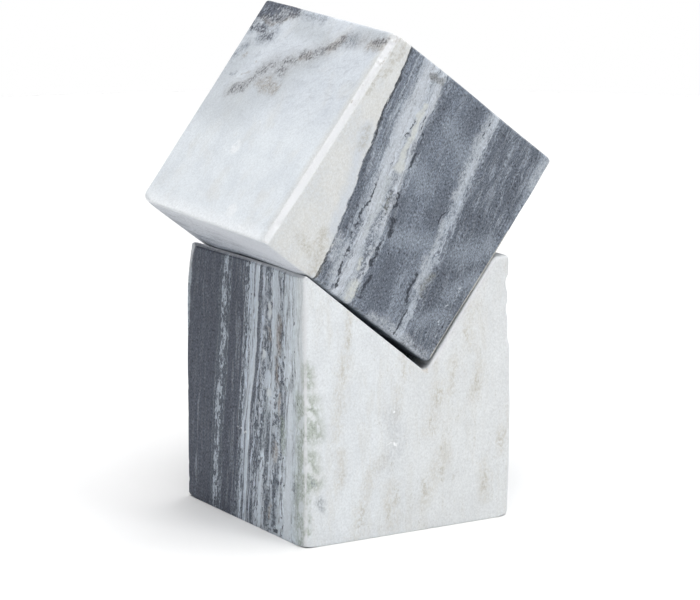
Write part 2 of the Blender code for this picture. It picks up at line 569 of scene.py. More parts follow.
def sole_swell(p, y):
    """Return how far the sole swells, in mm, where it bears on the block's left arris.

    It starts from SWELL_AT_LEFT and changes by SWELL_STEPS. A second, rounder swell of up to 1 mm
    is added towards the rear. The sum fades to 0.3 of itself at the front, and to nothing at the
    rear.
    """
    swell = SWELL_AT_LEFT + sum(change * ramp(p, first, last) for first, last, change in SWELL_STEPS)
    swell = swell + ramp(p, 8.0, 28.0) * ramp(y, 40.0, 80.0) * ramp(y, 94.0, 78.0)
    return swell * (0.3 + 0.7 * ramp(y, 0.0, 8.0)) * ramp(y, y_side, 90.0)


along = np.arange(y_side)
fullest = sole_swell(along[:, None], along).max()
print("the sole swells by up to", round(float(fullest), 2), "mm")

# %% Cube knocks
# An arris is given as for the block
CUBE_ARRISES = [
    ((0, 0, 3), (0, 0, 80), (-1, -1, 0), 7, 31, (1.2, 1.7)),
    ((0, 0, 82), (0, 0, w_side + 1), (-1, -1, 0.3), 16, 32, (1.3, 2.2)),
    ((0, 0, w_side), (p_side, 0, w_side), (0, -1, 1), 9, 33),
    ((0, 0, 0), (p_side, 0, 0), (0, -1, -1), 16, 34),
    ((p_side, 0, 0), (p_side, 0, w_side), (1, -1, 0), 12, 35),
    ((0, 0, 0), (0, y_side, 0), (-1, 0, -1), 8, 36),
    ((0, 0, w_side), (0, y_side, w_side), (-1, 0, 1), 14, 37),
    ((0, y_side, 0), (0, y_side, w_side), (-1, 1, 0), 14, 38),
    ((p_side, y_side, 0), (p_side, y_side, w_side), (1, 1, 0), 10, 39),
    ((0, y_side, w_side), (p_side, y_side, w_side), (0, 1, 1), 12, 40),
    ((0, y_side, 0), (p_side, y_side, 0), (0, 1, -1), 10, 41),
    ((p_side, 0, w_side), (p_side, y_side, w_side), (1, 0, 1), 12, 42),
    ((p_side, 0, 0), (p_side, y_side, 0), (1, 0, -1), 8, 43),
]

cube_knocks = np.concatenate([knocks_along(*arris) for arris in CUBE_ARRISES])
print(len(cube_knocks), "knocks on the cube")


# %% Cube distance
def cube_distance(points, uneven):
    """Return the rubbed cube's signed distance at points given in its own millimetres.

    It is the soft larger of the six sides' planes, and of two narrow strips: the front left arris
    rubbed flat, and the front lower one. The sole is moved out by sole_swell() and the top in by
    top_sag(). The sole's left arris stays almost sharp up to its rear tip, and its right one, the
    lowest of all, is much rounder.
    """
    p, y, w = np.moveaxis(points, -1, 0)
    at_right = ramp(p - y, 20.0, 60.0)
    at_top = ramp(w, 80.0, w_side)
    right_round = RIGHT_ROUND + (TOP_RIGHT_ROUND - RIGHT_ROUND) * at_top
    rounding = (CUBE_ROUND + (right_round - CUBE_ROUND) * at_right) * uneven
    stone = soft_max(np.maximum(-p, p - p_side), np.maximum(-y, y - y_side), rounding)
    stone = soft_max(stone, w - w_side + top_sag(p), TOP_ROUND * uneven)
    at_tip = ramp(y, y_side - REAR_TIP_LENGTH, y_side)
    sole_left = SOLE_ROUND + (REAR_TIP_ROUND - SOLE_ROUND) * at_tip
    sole_side = np.where(p < p_side / 2, sole_left, LOWEST_ROUND)
    near_side = ramp(np.minimum(p, p_side - p), 8.0, 3.0)
    sole_round = CUBE_ROUND + (sole_side - CUBE_ROUND) * near_side
    stone = soft_max(stone, -w - sole_swell(p, y), sole_round * uneven)
    on_front = np.interp(w, STRIP_HEIGHTS, STRIP_ON_FRONT) * uneven
    on_white = np.interp(w, STRIP_HEIGHTS, STRIP_ON_WHITE) * uneven
    strip = (1 - p / on_front - y / on_white) / np.hypot(1 / on_front, 1 / on_white)
    stone = soft_max(stone, strip, STRIP_ROUND)
    foot_strip = np.interp(p, FOOT_STRIP_PLACES, FOOT_STRIP)
    return soft_max(stone, foot_strip / 2 - (w + y) * math.sqrt(0.5), FOOT_STRIP_ROUND)


inner_point = cube_size[None] * (0.5, 0.5, 0.2)
print("near the sole, the distance is", round(float(cube_distance(inner_point, 1.0)[0]), 2))


# %% Cube mesh
def cube_grid():
    """Return the sharp cube's points, their inward directions and the faces.

    Each side is a grid of places along its two directions. A point's inward direction leads to
    the nearest point of the box that lies MITRE_REACH further in, on every side.
    """
    places = [spread(length, CUBE_SPACING) for length in cube_size]
    points, faces, offset = [], [], 0
    for axis in range(3):
        second, third = (axis + 1) % 3, (axis + 2) % 3
        for end in (0, 1):
            grid = np.empty((len(places[second]), len(places[third]), 3))
            grid[..., axis] = end * cube_size[axis]
            grid[..., second] = places[second][:, None]
            grid[..., third] = places[third]
            points.append(grid.reshape(-1, 3))
            faces.append(grid_quads(*grid.shape[:2], offset, flip=end == 1))
            offset += grid.shape[0] * grid.shape[1]
    points = np.concatenate(points)
    inward = np.clip(points, MITRE_REACH, cube_size - MITRE_REACH) - points
    return points, inward / np.linalg.norm(inward, axis=1, keepdims=True), faces


start, inward, faces = cube_grid()
depth = rub_down(cube_distance, start, inward, 3)
depth += knock(start + depth[:, None] * inward, inward, cube_knocks)
worn = start + depth[:, None] * inward
arris_wear = depth - top_sag(start[:, 0]) * (start[:, 2] > w_side - ON_FACE)
cube = make_piece("tilted_cube_stone", cube_corner, cube_axes, start, worn, faces, arris_wear)

# %% [markdown]
# ## Painting with nodes
#
# Banded marble is limestone that was cooked and squeezed deep underground. Its layers, called beds,
# are clean white calcite, or grey where fine carbon stayed in the stone. The sculptor here sawed
# and honed it: the face is flat and dull, so the eye sees the beds and the crystal grain and hardly
# any gloss. The pattern must run through the solid, so every material starts from the place in the
# stone in millimetres, and works out how far through the stack of beds that place lies.

# %% Colours and nodes
def linear(hex_colour):
    """Return a hex sRGB colour as the linear RGBA that Blender's sockets take."""
    shares = np.array([int(hex_colour[start : start + 2], 16) for start in (1, 3, 5)]) / 255
    curve = ((shares + 0.055) / 1.055) ** 2.4
    return (*np.where(shares <= 0.04045, shares / 12.92, curve).tolist(), 1.0)


def add(tree, kind, inputs, out=0, **settings):
    """Add a node, set its settings, feed its inputs with values or links, return one output."""
    node = tree.nodes.new("ShaderNode" + kind)
    for name, value in settings.items():
        setattr(node, name, value)
    for name, value in inputs.items():
        if isinstance(value, bpy.types.NodeSocket):
            tree.links.new(value, node.inputs[name])
        else:
            node.inputs[name].default_value = value
    return node.outputs[out]


print("the hex colour #808080 is", round(linear("#808080")[0], 3), "in linear light")

# %% Noise patterns
SEED_STEP = np.array([17.31, 5.17, 9.73])


def clouds(tree, place, cell, seed, detail=2.0, roughness=0.5, out=0):
    """Return noise about 0.5 whose clouds measure `cell` mm along each direction.

    The place is divided by the cell and moved by a step of its own for each seed.
    """
    shift = seed * SEED_STEP
    cells = add(tree, "VectorMath", {0: place, 1: cell}, operation="DIVIDE")
    moved = add(tree, "VectorMath", {0: cells, 1: shift}, operation="ADD")
    detailed = {"Vector": moved, "Scale": 1.0, "Detail": detail, "Roughness": roughness}
    return add(tree, "TexNoise", detailed, out)


def pattern(tree, place, cell, between, seed, detail=2.0, roughness=0.5):
    """Return a pattern from 0 to 1: clouds, stepped smoothly between two noise levels."""
    noise = clouds(tree, place, cell, seed, detail, roughness)
    return add(
        tree,
        "MapRange",
        {"Value": noise, "From Min": between[0], "From Max": between[1]},
        interpolation_type="SMOOTHSTEP",
    )


def times(tree, *factors):
    """Return the product of several shares, so that each holds back the others."""
    product = factors[0]
    for factor in factors[1:]:
        product = add(tree, "Math", {0: product, 1: factor}, operation="MULTIPLY")
    return product


def stir(tree, place, cell, reach, seed):
    """Return the place moved by up to about `reach` mm, by noise with clouds of `cell` mm."""
    noise = clouds(tree, place, (cell,) * 3, seed, out=1)
    centred = add(tree, "VectorMath", {0: noise, 1: (0.5,) * 3}, operation="SUBTRACT")
    moved = add(tree, "VectorMath", {0: centred, "Scale": 4 * reach}, operation="SCALE")
    return add(tree, "VectorMath", {0: place, 1: moved}, operation="ADD")


print("noise number 2 is read", (2 * SEED_STEP).tolist(), "cells away from number 0")


# %% Marks and zones
def near_lines(tree, place, lines, blur=0.5):
    """Return 1 on the given lines and 0 away from them.

    A line is a start, an end and a half width, in mm. The nearest point of the line to a place is
    the start plus the line's run, times the place's share along it, held from 0 to 1. The result
    falls from 1 to 0 between (1 - blur) and (1 + blur) half widths from there.
    """
    total = None
    for start, end, half_width in lines:
        run = np.subtract(end, start).astype(float)
        scaled = run / max(run @ run, 1e-6)
        offset = add(tree, "VectorMath", {0: place, 1: start}, operation="SUBTRACT")
        share = add(tree, "VectorMath", {0: offset, 1: scaled}, "Value", operation="DOT_PRODUCT")
        held = add(tree, "Clamp", {"Value": share})
        nearest = add(tree, "VectorMath", {0: run, "Scale": held}, operation="SCALE")
        gap = add(tree, "VectorMath", {0: offset, 1: nearest}, "Value", operation="DISTANCE")
        limits = {"From Min": half_width * (1 + blur), "From Max": half_width * (1 - blur)}
        closeness = add(
            tree, "MapRange", {"Value": gap, **limits}, interpolation_type="SMOOTHSTEP"
        )
        if total is None:
            total = closeness
        else:
            total = add(tree, "Math", {0: total, 1: closeness}, operation="MAXIMUM")
    return total


def near_level(tree, level, middle, half_width, blur=0.5):
    """Return 1 where the level is near `middle`, and 0 further off, as near_lines does."""
    gap = add(tree, "Math", {0: level, 1: middle}, operation="SUBTRACT")
    size = add(tree, "Math", {0: gap}, operation="ABSOLUTE")
    limits = {"From Min": half_width * (1 + blur), "From Max": half_width * (1 - blur)}
    return add(tree, "MapRange", {"Value": size, **limits}, interpolation_type="SMOOTHSTEP")


def lay_over(tree, colour, coats):
    """Lay coats over a colour one after another. A coat is its share, 0 to 1, and its colour."""
    for share, hex_colour in coats:
        sockets = {0: share, 6: colour, 7: linear(hex_colour)}
        colour = add(tree, "Mix", sockets, 2, data_type="RGBA")
    return colour


def front_marks(marks):
    """Return lines in the stone from marks given as seen on its front: across, up, across, up."""
    return [((a, 0.0, b), (c, 0.0, d), width) for a, b, c, d, width in marks]


def left_marks(marks, depth):
    """Return lines from marks on the left side: from the rear arris, up, from the rear arris, up."""
    return [((0.0, depth - a, b), (0.0, depth - c, d), width) for a, b, c, d, width in marks]


def zones(tree, limits):
    """Return named shares along one value each. A zone is 0 at its start and 1 where it is full.

    Each entry gives the zone's value, start and full place, and the least share, used in place of
    0. The start may be the larger of the two places.
    """
    shares = {}
    for name, (value, start, full, *least) in limits.items():
        sockets = {"Value": value, "From Min": start, "From Max": full}
        if least:
            sockets["To Min"] = least[0]
        shares[name] = add(tree, "MapRange", sockets)
    return shares


print("a mark up the front is the line", front_marks([(10, 20, 10, 30, 1)])[0])

# %% [markdown]
# ## Beds
#
# A bed level is the distance, in mm, through the stack of beds. For flat beds it is a weighted sum
# of the three coordinates. Real beds were squeezed, so slow noise lifts and drops the level by a
# few mm and quick noise frays it. Colour ramps then read off the bed: one holds its colour, and a
# second holds two shares, how far the bed is broken into pale grains with dark gaps, and how many
# thin lines run along it.

# %% Bed helpers
RAMP_BEDS = 15
BED_BLUR = 0.25


def sway(tree, level, place, waves):
    """Return the level with noise added. A wave is its cloud size in mm, its height and a seed."""
    for cell, height, seed in waves:
        noise = clouds(tree, place, cell, seed, 2.5)
        sockets = {0: noise, 1: 4 * height, 2: -2 * height}
        lift = add(tree, "Math", sockets, operation="MULTIPLY_ADD")
        level = add(tree, "Math", {0: level, 1: lift}, operation="ADD")
    return level


def bed_ramp(tree, share, edges, colours):
    """Return the colour of the bed that a share, 0 to 1, falls in, its edges blurred a little."""
    colour = add(tree, "ValToRGB", {"Fac": share})
    stops = colour.node.color_ramp.elements
    low, high = edges[0], edges[-1]
    for start, finish, bed_colour in zip(edges[:-1], edges[1:], colours):
        for edge in (start + BED_BLUR, finish - BED_BLUR):
            stops.new((edge - low) / (high - low)).color = bed_colour
    stops.remove(stops[0])
    stops.remove(stops[-1])
    return colour


def lay_beds(tree, level, beds, end):
    """Return the colour of the bed at a level, its gap share and its line share.

    `beds` lists where each bed starts, in mm, its colour and its two shares; the last ends at
    `end`. A ramp holds 32 stops, and a bed needs two, so the list is dealt out over several. In a
    Mix node, sockets 6 and 7 are the two colours and output 2 is the mixed one.
    """
    colour = shares = None
    edges = [bed[0] for bed in beds] + [end]
    for first in range(0, len(beds), RAMP_BEDS):
        part = beds[first : first + RAMP_BEDS]
        part_edges = edges[first : first + len(part) + 1]
        limits = {"From Min": part_edges[0], "From Max": part_edges[-1]}
        share = add(tree, "MapRange", {"Value": level, **limits})
        part_colour = bed_ramp(tree, share, part_edges, [linear(bed[1]) for bed in part])
        part_shares = bed_ramp(tree, share, part_edges, [(*bed[2:], 0.0, 1.0) for bed in part])
        if colour is None:
            colour, shares = part_colour, part_shares
            continue
        above = add(tree, "Math", {0: level, 1: part_edges[0]}, operation="GREATER_THAN")
        colour = add(tree, "Mix", {0: above, 6: colour, 7: part_colour}, 2, data_type="RGBA")
        shares = add(tree, "Mix", {0: above, 6: shares, 7: part_shares}, 2, data_type="RGBA")
    split = add(tree, "SeparateColor", {"Color": shares}).node
    return colour, split.outputs["Red"], split.outputs["Green"]


print("one ramp takes", RAMP_BEDS, "beds, each blurred over", 2 * BED_BLUR, "mm at its edges")

# %% Grains and places
GRAIN_SIZE = (1.0, 3.0, 2.6)
CLUSTER_SIZE = (3.4, 9.0, 8.0)
CLUSTER_SHARE = 0.4
GAP_LEVELS = (0.71, 0.77)


def broken(tree, stack, gaps, seed):
    """Return the dark gaps between pale grains, and none where the gap share is 0.

    The grains were pressed flat, so they are three times longer along the bed than across it.
    Noise of grain size and noise of cluster size are mixed, and half the gap share is added.
    Above a level there is a gap: at a share of 0.5 gaps fill about half the bed, at 1 nearly all.
    """
    grains = clouds(tree, stack, GRAIN_SIZE, seed, 3.0, 0.66)
    clusters = clouds(tree, stack, CLUSTER_SIZE, seed + 1, 3.0, 0.6)
    noise = add(tree, "Mix", {0: CLUSTER_SHARE, 2: grains, 3: clusters})
    raised = add(tree, "Math", {0: gaps, 1: 0.5, 2: noise}, operation="MULTIPLY_ADD")
    limits = {"From Min": GAP_LEVELS[0], "From Max": GAP_LEVELS[1]}
    return add(tree, "MapRange", {"Value": raised, **limits}, interpolation_type="SMOOTHSTEP")


def vary(tree, colour, noise, contrast):
    """Return the colour times 1 + contrast * (noise - 0.5): lighter and darker, mean kept."""
    centred = add(tree, "Math", {0: noise, 1: -0.5}, operation="ADD")
    factor = add(tree, "Math", {0: centred, 1: contrast, 2: 1.0}, operation="MULTIPLY_ADD")
    sockets = {0: 1.0, 6: colour, 7: factor}
    return add(tree, "Mix", sockets, 2, data_type="RGBA", blend_type="MULTIPLY")


def stone_place(tree, corner, turn):
    """Return the place in a stone in its own mm: Object coordinates, turned, scaled and shifted."""
    coordinates = add(tree, "TexCoord", {}, "Object")
    axes = stone_axes(turn)
    sockets = {
        "Vector": coordinates,
        "Location": -(axes @ corner) / MM,
        "Rotation": (0.0, -turn, 0.0),
        "Scale": (1 / MM,) * 3,
    }
    return add(tree, "Mapping", sockets)


print("the pale beds break into grains of about", GRAIN_SIZE[0], "by", GRAIN_SIZE[1], "mm")

# %% [markdown]
# ## Honed finish
#
# Honing leaves calcite crystals of about half a millimetre flush with each other. Each one takes
# the light a touch differently, so the face twinkles faintly instead of shining. The crystals were
# squeezed longer along the beds, and show most in the grey ones, where carbon lies between them.
# Where an arris was rubbed or knocked, the crushed crystals scatter more light and look paler. The
# bump is drawn a little deeper than honed crystals stand, or it wouldn't show at this distance.

# %% Honed finish
GRAIN = (0.45, 1.0, 0.9)
GRAIN_DEPTH = 0.012
PALE_GRAIN = 0.36
DARK_GRAIN = 3.0
DARK_TO_PALE = (0.12, 0.6)
CALCITE_IOR = 1.49
MICRO_PITS = 0.25
BRUISE = "#e2e4e7"
BRUISING = (0.495, 0.9)
BRUISE_ON_DARK = 0.7
BRUISE_WEAR = (0.3, 0.6)
STONE_ROUGHNESS = (0.5, 0.61)


def honed(material, place, stack, colour, bare=1.0):
    """Finish a stone: crystal grain in colour and bump, pale bruised arrises, and a dull face.

    The grain's contrast falls from DARK_GRAIN to PALE_GRAIN as the colour's brightness goes
    through DARK_TO_PALE, and the bruises get stronger. `bare` says how much of them each place
    shows. Microscopic pits scatter much of the gloss, so only a share MICRO_PITS of it is left.
    """
    tree = material.node_tree
    shader = tree.nodes["Principled BSDF"]
    grain = clouds(tree, stack, GRAIN, 41, 1.0, 0.6)
    brightness = add(tree, "RGBToBW", {"Color": colour})
    paleness = {"Value": brightness, "From Min": DARK_TO_PALE[0], "From Max": DARK_TO_PALE[1]}
    contrast = add(tree, "MapRange", {**paleness, "To Min": DARK_GRAIN, "To Max": PALE_GRAIN})
    colour = vary(tree, colour, grain, contrast)
    wear = add(tree, "Attribute", {}, "Fac", attribute_name="wear")
    limits = {"From Min": BRUISE_WEAR[0], "From Max": BRUISE_WEAR[1]}
    worn = add(tree, "MapRange", {"Value": wear, **limits})
    patchy = pattern(tree, place, (2.2,) * 3, (0.35, 0.62), 42, 3.0, 0.6)
    amounts = {"To Min": BRUISING[0], "To Max": BRUISING[1]}
    strength = add(tree, "MapRange", {"Value": patchy, **amounts})
    shown = add(tree, "MapRange", {**paleness, "To Min": BRUISE_ON_DARK})
    colour = lay_over(tree, colour, [(times(tree, worn, strength, shown, bare), BRUISE)])
    bump = add(tree, "Bump", {"Height": grain, "Strength": 0.7, "Distance": GRAIN_DEPTH * MM})
    amounts = {"To Min": STONE_ROUGHNESS[0], "To Max": STONE_ROUGHNESS[1]}
    dull = add(tree, "MapRange", {"Value": patchy, **amounts})
    tree.links.new(colour, shader.inputs["Base Color"])
    tree.links.new(bump, shader.inputs["Normal"])
    tree.links.new(dull, shader.inputs["Roughness"])
    shader.inputs["IOR"].default_value = CALCITE_IOR
    shader.inputs["Specular IOR Level"].default_value = MICRO_PITS
    print(material.name, "has", len(tree.nodes), "nodes")


# %% [markdown]
# ## The block's marble
#
# The beds of the block stand upright, parallel to its front. From the rear they are a pale sheet,
# a thick dark slate-grey one with a broken pale stripe, a bundle of thin pale and dark ones, and
# then, for the last few millimetres, the clean white that makes the whole front face. They lean a
# little towards the rear at the foot, except near the front, where they stand straight. Warm
# streaks run up the white, and olive freckles crowd in them.

# %% Block beds
SLATE = "#4f5562"
# A bed is its start in mm from the rear, its colour, its gap share and its line share
BLOCK_BEDS = [
    (-30, SLATE, 0.0, 0.04),
    (-4, "#9aa3ac", 0.4, 0.3),
    (5.5, SLATE, 0.0, 0.05),
    (16.6, "#5d6370", 0.0, 0.25),
    (17.6, SLATE, 0.0, 0.05),
    (29.6, "#9aa4af", 0.68, 0.2),
    (31.6, "#b3bdc8", 0.48, 0.2),
    (35.8, "#9da7b2", 0.6, 0.2),
    (38.4, SLATE, 0.0, 0.05),
    (43.0, "#535966", 0.0, 0.2),
    (50.6, "#9fa8b4", 0.54, 0.6),
    (53.4, "#c1cbd7", 0.34, 0.7),
    (57.0, "#8b939f", 0.3, 0.5),
    (58.5, "#c8d2de", 0.28, 0.6),
    (60.0, "#d8e1ea", 0.15, 0.4),
    (61.6, "#6c727e", 0.3, 0.7),
    (64.6, "#bbc5d2", 0.28, 0.5),
    (66.0, "#979fab", 0.48, 0.8),
    (68.6, "#bac3ce", 0.44, 0.9),
    (72.4, "#d1dbe4", 0.28, 0.8),
    (75.0, "#bbc3cc", 0.4, 0.9),
    (79.0, "#b2bbc5", 0.4, 0.9),
    (82.0, "#cbd4dc", 0.3, 0.8),
    (85.0, "#d6dee5", 0.2, 0.6),
    (88.0, "#ced7dd", 0.25, 0.6),
    (91.0, "#d6dee2", 0.2, 0.4),
    (94.0, "#d9dfe3", 0.1, 0.2),
    (96.2, "#e1e5e8", 0.0, 0.0),
]
BLOCK_BEDS_END = 130
# Where the beds give way to the clean white of the front
WHITE_STARTS, WHITE_FULL = 93.0, 97.0
# The level rises by this much for each mm across, back and up
BLOCK_SLANT = (0.12, -1.0, 0.0)
# The lean at the foot, in mm of level for each mm down, and from which depth to which it grows
LEAN = 0.115
LEAN_FROM, LEAN_FULL = 6.0, 36.0
# The bundle's bend, in mm, and from which height down to which it grows
BUNDLE_BEND = 2.4
BEND_FROM, BEND_FULL = 80.0, 46.0
BUNDLE_DEPTH, BUNDLE_HALF = 37.0, 12.0
# A wave is its cloud size in mm, its height in mm and a seed
BLOCK_WAVES = [
    ((30.0, 40.0, 50.0), 1.0, 1),
    ((5.0, 5.0, 11.0), 0.75, 2),
    ((1.5, 1.5, 3.6), 0.45, 3),
]
print(len(BLOCK_BEDS), "beds in the block, the white from", BLOCK_BEDS[-1][0], "mm from the rear")

# %% [markdown]
# ## Marks that noise can't place
#
# Noise gives a bed its right kind of pattern, but not this stone's own lines, stains and crystals. A
# restorer would paint those in one by one, and so does this step. A mark is a short stroke on a
# face: where it starts, across and up, where it ends, and its half width, all in mm. On the left
# side, across is measured from the rear arris. The strokes go right into the stone, so they carry
# on round an arris, and noise frays their edges later.
# One of them, the bevel under the cube, is partly a painted highlight.

# %% Block marks
BLOCK_OVALS = [
    (70, 93, 70, 95.5, 1.5), (68.5, 59, 69.5, 60.5, 1.4), (65, 74.5, 65.3, 76, 1.2),
    (95, 52, 96, 54, 1.9), (97, 33, 97.4, 35.5, 1.7), (94, 16, 95, 18, 1.9),
    (93.5, 4, 93.5, 7, 1.2),
]
BLOCK_SLIVER = [(1.5, 112, 2.5, 98, 2.2), (2.5, 98, 1.0, 82, 1.6)]
LIGHT_SIDE = [
    (65.5, 108, 66, 92, 0.8), (66, 92, 64, 74, 0.75), (64, 74, 61, 46, 0.7), (62.5, 26, 61, 3, 1.1),
    (83, 98, 84, 70, 0.8), (78, 58, 76, 40, 0.7), (68, 108, 68, 99, 0.6), (71.5, 108, 72, 98, 0.6),
    (67.6, 90, 70, 84, 0.6),
]
LINE_SIDE = [
    (75.5, 112, 74.5, 84, 1.5), (74.5, 84, 72.2, 62, 1.1), (72.2, 62, 70.5, 45, 0.7),
    (70.5, 45, 68, 20, 0.6), (60.6, 112, 58.8, 86, 0.95), (58.8, 86, 56.6, 66, 0.85),
    (56.6, 66, 51.4, 44, 0.8), (51.4, 44, 49.0, 18, 0.7), (57, 110, 55.6, 84, 0.6),
    (55.6, 84, 53.4, 64, 0.65), (53.4, 64, 49.2, 44, 0.6),
]
BRIGHT_SIDE = [
    (87, 62, 86, 42, 1.4), (86, 42, 84.5, 20, 2.1), (84.5, 20, 83, 1, 2.5), (91, 112, 92, 70, 0.9),
]
DARK_SIDE = [
    (69, 52, 66, 4, 2.2), (74, 30, 72, 4, 1.2), (70, 89, 69.5, 70, 1.6), (80, 56, 78, 34, 1.1),
    (69.6, 108, 70, 99, 1.2), (66, 60, 63, 34, 1.0), (76.5, 34, 75, 8, 0.8),
    (63.4, 112, 61.6, 86, 1.1), (61.6, 86, 58.8, 64, 0.9), (58.8, 64, 56, 48, 0.8),
    (56, 48, 54.2, 22, 0.6),
]
GREEN_SIDE = [
    (93, 62, 96, 46, 2.8), (94, 44, 96, 22, 3.0), (80, 50, 81, 38, 2.0), (92.5, 28, 94, 3, 3.2),
]
BROWN_SIDE = [
    (77.5, 92, 77, 78, 1.8), (74.5, 38, 73.5, 33, 1.8), (77, 52, 78, 60, 1.0),
    (76, 76, 76, 64, 1.2), (70, 12, 69, 6, 0.9), (69, 86, 70, 83, 1.2),
]
SAW_SCRATCH = [(41, 39, 50, 39.4, 0.35), (72.5, 39.6, 77, 39.5, 0.35), (45, 39.3, 49, 39.1, 0.6)]
GREEN_FRONT = [
    (3.0, 60, 4.4, 47, 3.6), (2.2, 38, 4.0, 27, 3.4), (2, 68, 1.2, 76, 2.2), (1.2, 20, 0.8, 6, 1.4),
]
GREY_FRONT = [(7.5, 19.5, 8.5, 16, 1.8), (3.5, 30, 5, 27, 1.2)]
GREY_SMUDGE = [(41, 50, 44, 40, 4.0), (44, 38, 38, 30, 4.0)]
WHITE_FRONT = [(2, 56, 4.4, 54.8, 1.6), (1.8, 35, 2.3, 33, 1.5), (1.5, 62, 2, 60, 0.8)]
VALLEY_STAIN = [(57.0, 68.6, 58.0, 67.0, 0.9)]
# The crushed bevel under the cube, given as places in the stone instead. Its crushed crystals are
# pale, and it is painted near white besides: a painted highlight where the cube's overhang shades it
BEVEL_PALE_AND_HIGHLIGHT = [
    ((1.3, 1.0, 113.5), (1.45, 50.0, 112.5), 0.75), ((1.45, 50.0, 112.5), (1.7, 95.0, 111.0), 0.75),
]
FLECK_FRONT = [(42.2, 52, 42.4, 52, 0.5), (42.5, 39, 44, 38.7, 0.7), (41, 39, 38, 37, 0.3)]
BEIGE_FRONT = [
    (21.5, 98, 20, 82, 1.8), (19.5, 78, 16, 58, 3.2), (16, 58, 15, 44, 2.4),
    (17, 38, 16.5, 24, 2.2), (46.5, 75, 47, 66, 2.0), (44.5, 62, 44, 50, 2.2),
    (37, 33, 31, 26, 2.6), (31, 26, 26, 12, 2.6), (26, 12, 24, 1, 2.8), (64, 60, 60, 42, 3.6),
    (66, 32, 57, 12, 3.4), (41, 20, 42, 4, 3.2), (86, 24, 87, 10, 2.6), (80, 92, 78, 76, 3.0),
    (95, 38, 95, 28, 2.2), (71, 70, 70, 58, 2.4), (84, 66, 82, 54, 2.6),
]
OLIVE_FRONT = [
    (64.3, 57.5, 63.5, 53.5, 1.7), (72.3, 69, 72.3, 66.5, 0.9), (71, 64, 71, 59.5, 0.9),
    (82, 62, 82.5, 56.5, 1.0), (95.5, 35.5, 94.5, 31, 1.8), (87.5, 20, 86.5, 14, 1.1),
    (65.5, 25, 65.5, 20, 1.0), (71, 21, 71, 18.5, 0.8), (84, 72, 83.5, 70, 0.8),
    (44, 19, 44, 14, 1.3), (57, 20, 57, 15, 1.3), (39.5, 12, 40, 8, 1.3), (41, 30, 41.5, 28, 0.8),
    (21, 92, 21, 83, 0.9), (19, 75, 18.6, 68, 0.9), (17.5, 30, 17, 25.5, 0.9),
    (47, 71, 47, 67, 0.8), (60.5, 46, 61, 41, 1.0), (77, 82, 77.5, 78, 0.8), (66, 36, 65, 33, 0.8),
    (27, 12, 26, 6, 1.1),
]


print(sum(map(len, (LIGHT_SIDE, LINE_SIDE, DARK_SIDE))), "lines drawn on the block's left side")


# %% Block marble
def block_level(tree, place):
    """Return the bed level: mm from the rear, turned a little, with a lean at the foot.

    Close to the front the beds stand straight. The bundle between is bent by BUNDLE_BEND as well.
    """
    split = add(tree, "SeparateXYZ", {"Vector": place}).node
    level = add(tree, "VectorMath", {0: place, 1: BLOCK_SLANT}, 1, operation="DOT_PRODUCT")
    level = add(tree, "Math", {0: level, 1: block_depth}, operation="ADD")
    drop = add(tree, "Math", {0: 100.0, 1: split.outputs["Z"]}, operation="SUBTRACT")
    limits = {"From Min": LEAN_FROM, "From Max": LEAN_FULL, "To Max": LEAN}
    lean = add(tree, "MapRange", {"Value": split.outputs["Y"], **limits})
    level = add(tree, "Math", {0: drop, 1: lean, 2: level}, operation="MULTIPLY_ADD")
    limits = {"From Min": BEND_FROM, "From Max": BEND_FULL, "To Max": BUNDLE_BEND}
    lower = {"Value": split.outputs["Z"], **limits}
    bend = add(tree, "MapRange", lower, interpolation_type="SMOOTHSTEP")
    in_bundle = near_level(tree, split.outputs["Y"], BUNDLE_DEPTH, BUNDLE_HALF, 0.6)
    level = add(tree, "Math", {0: level, 1: times(tree, bend, in_bundle)}, operation="ADD")
    return sway(tree, level, place, BLOCK_WAVES)


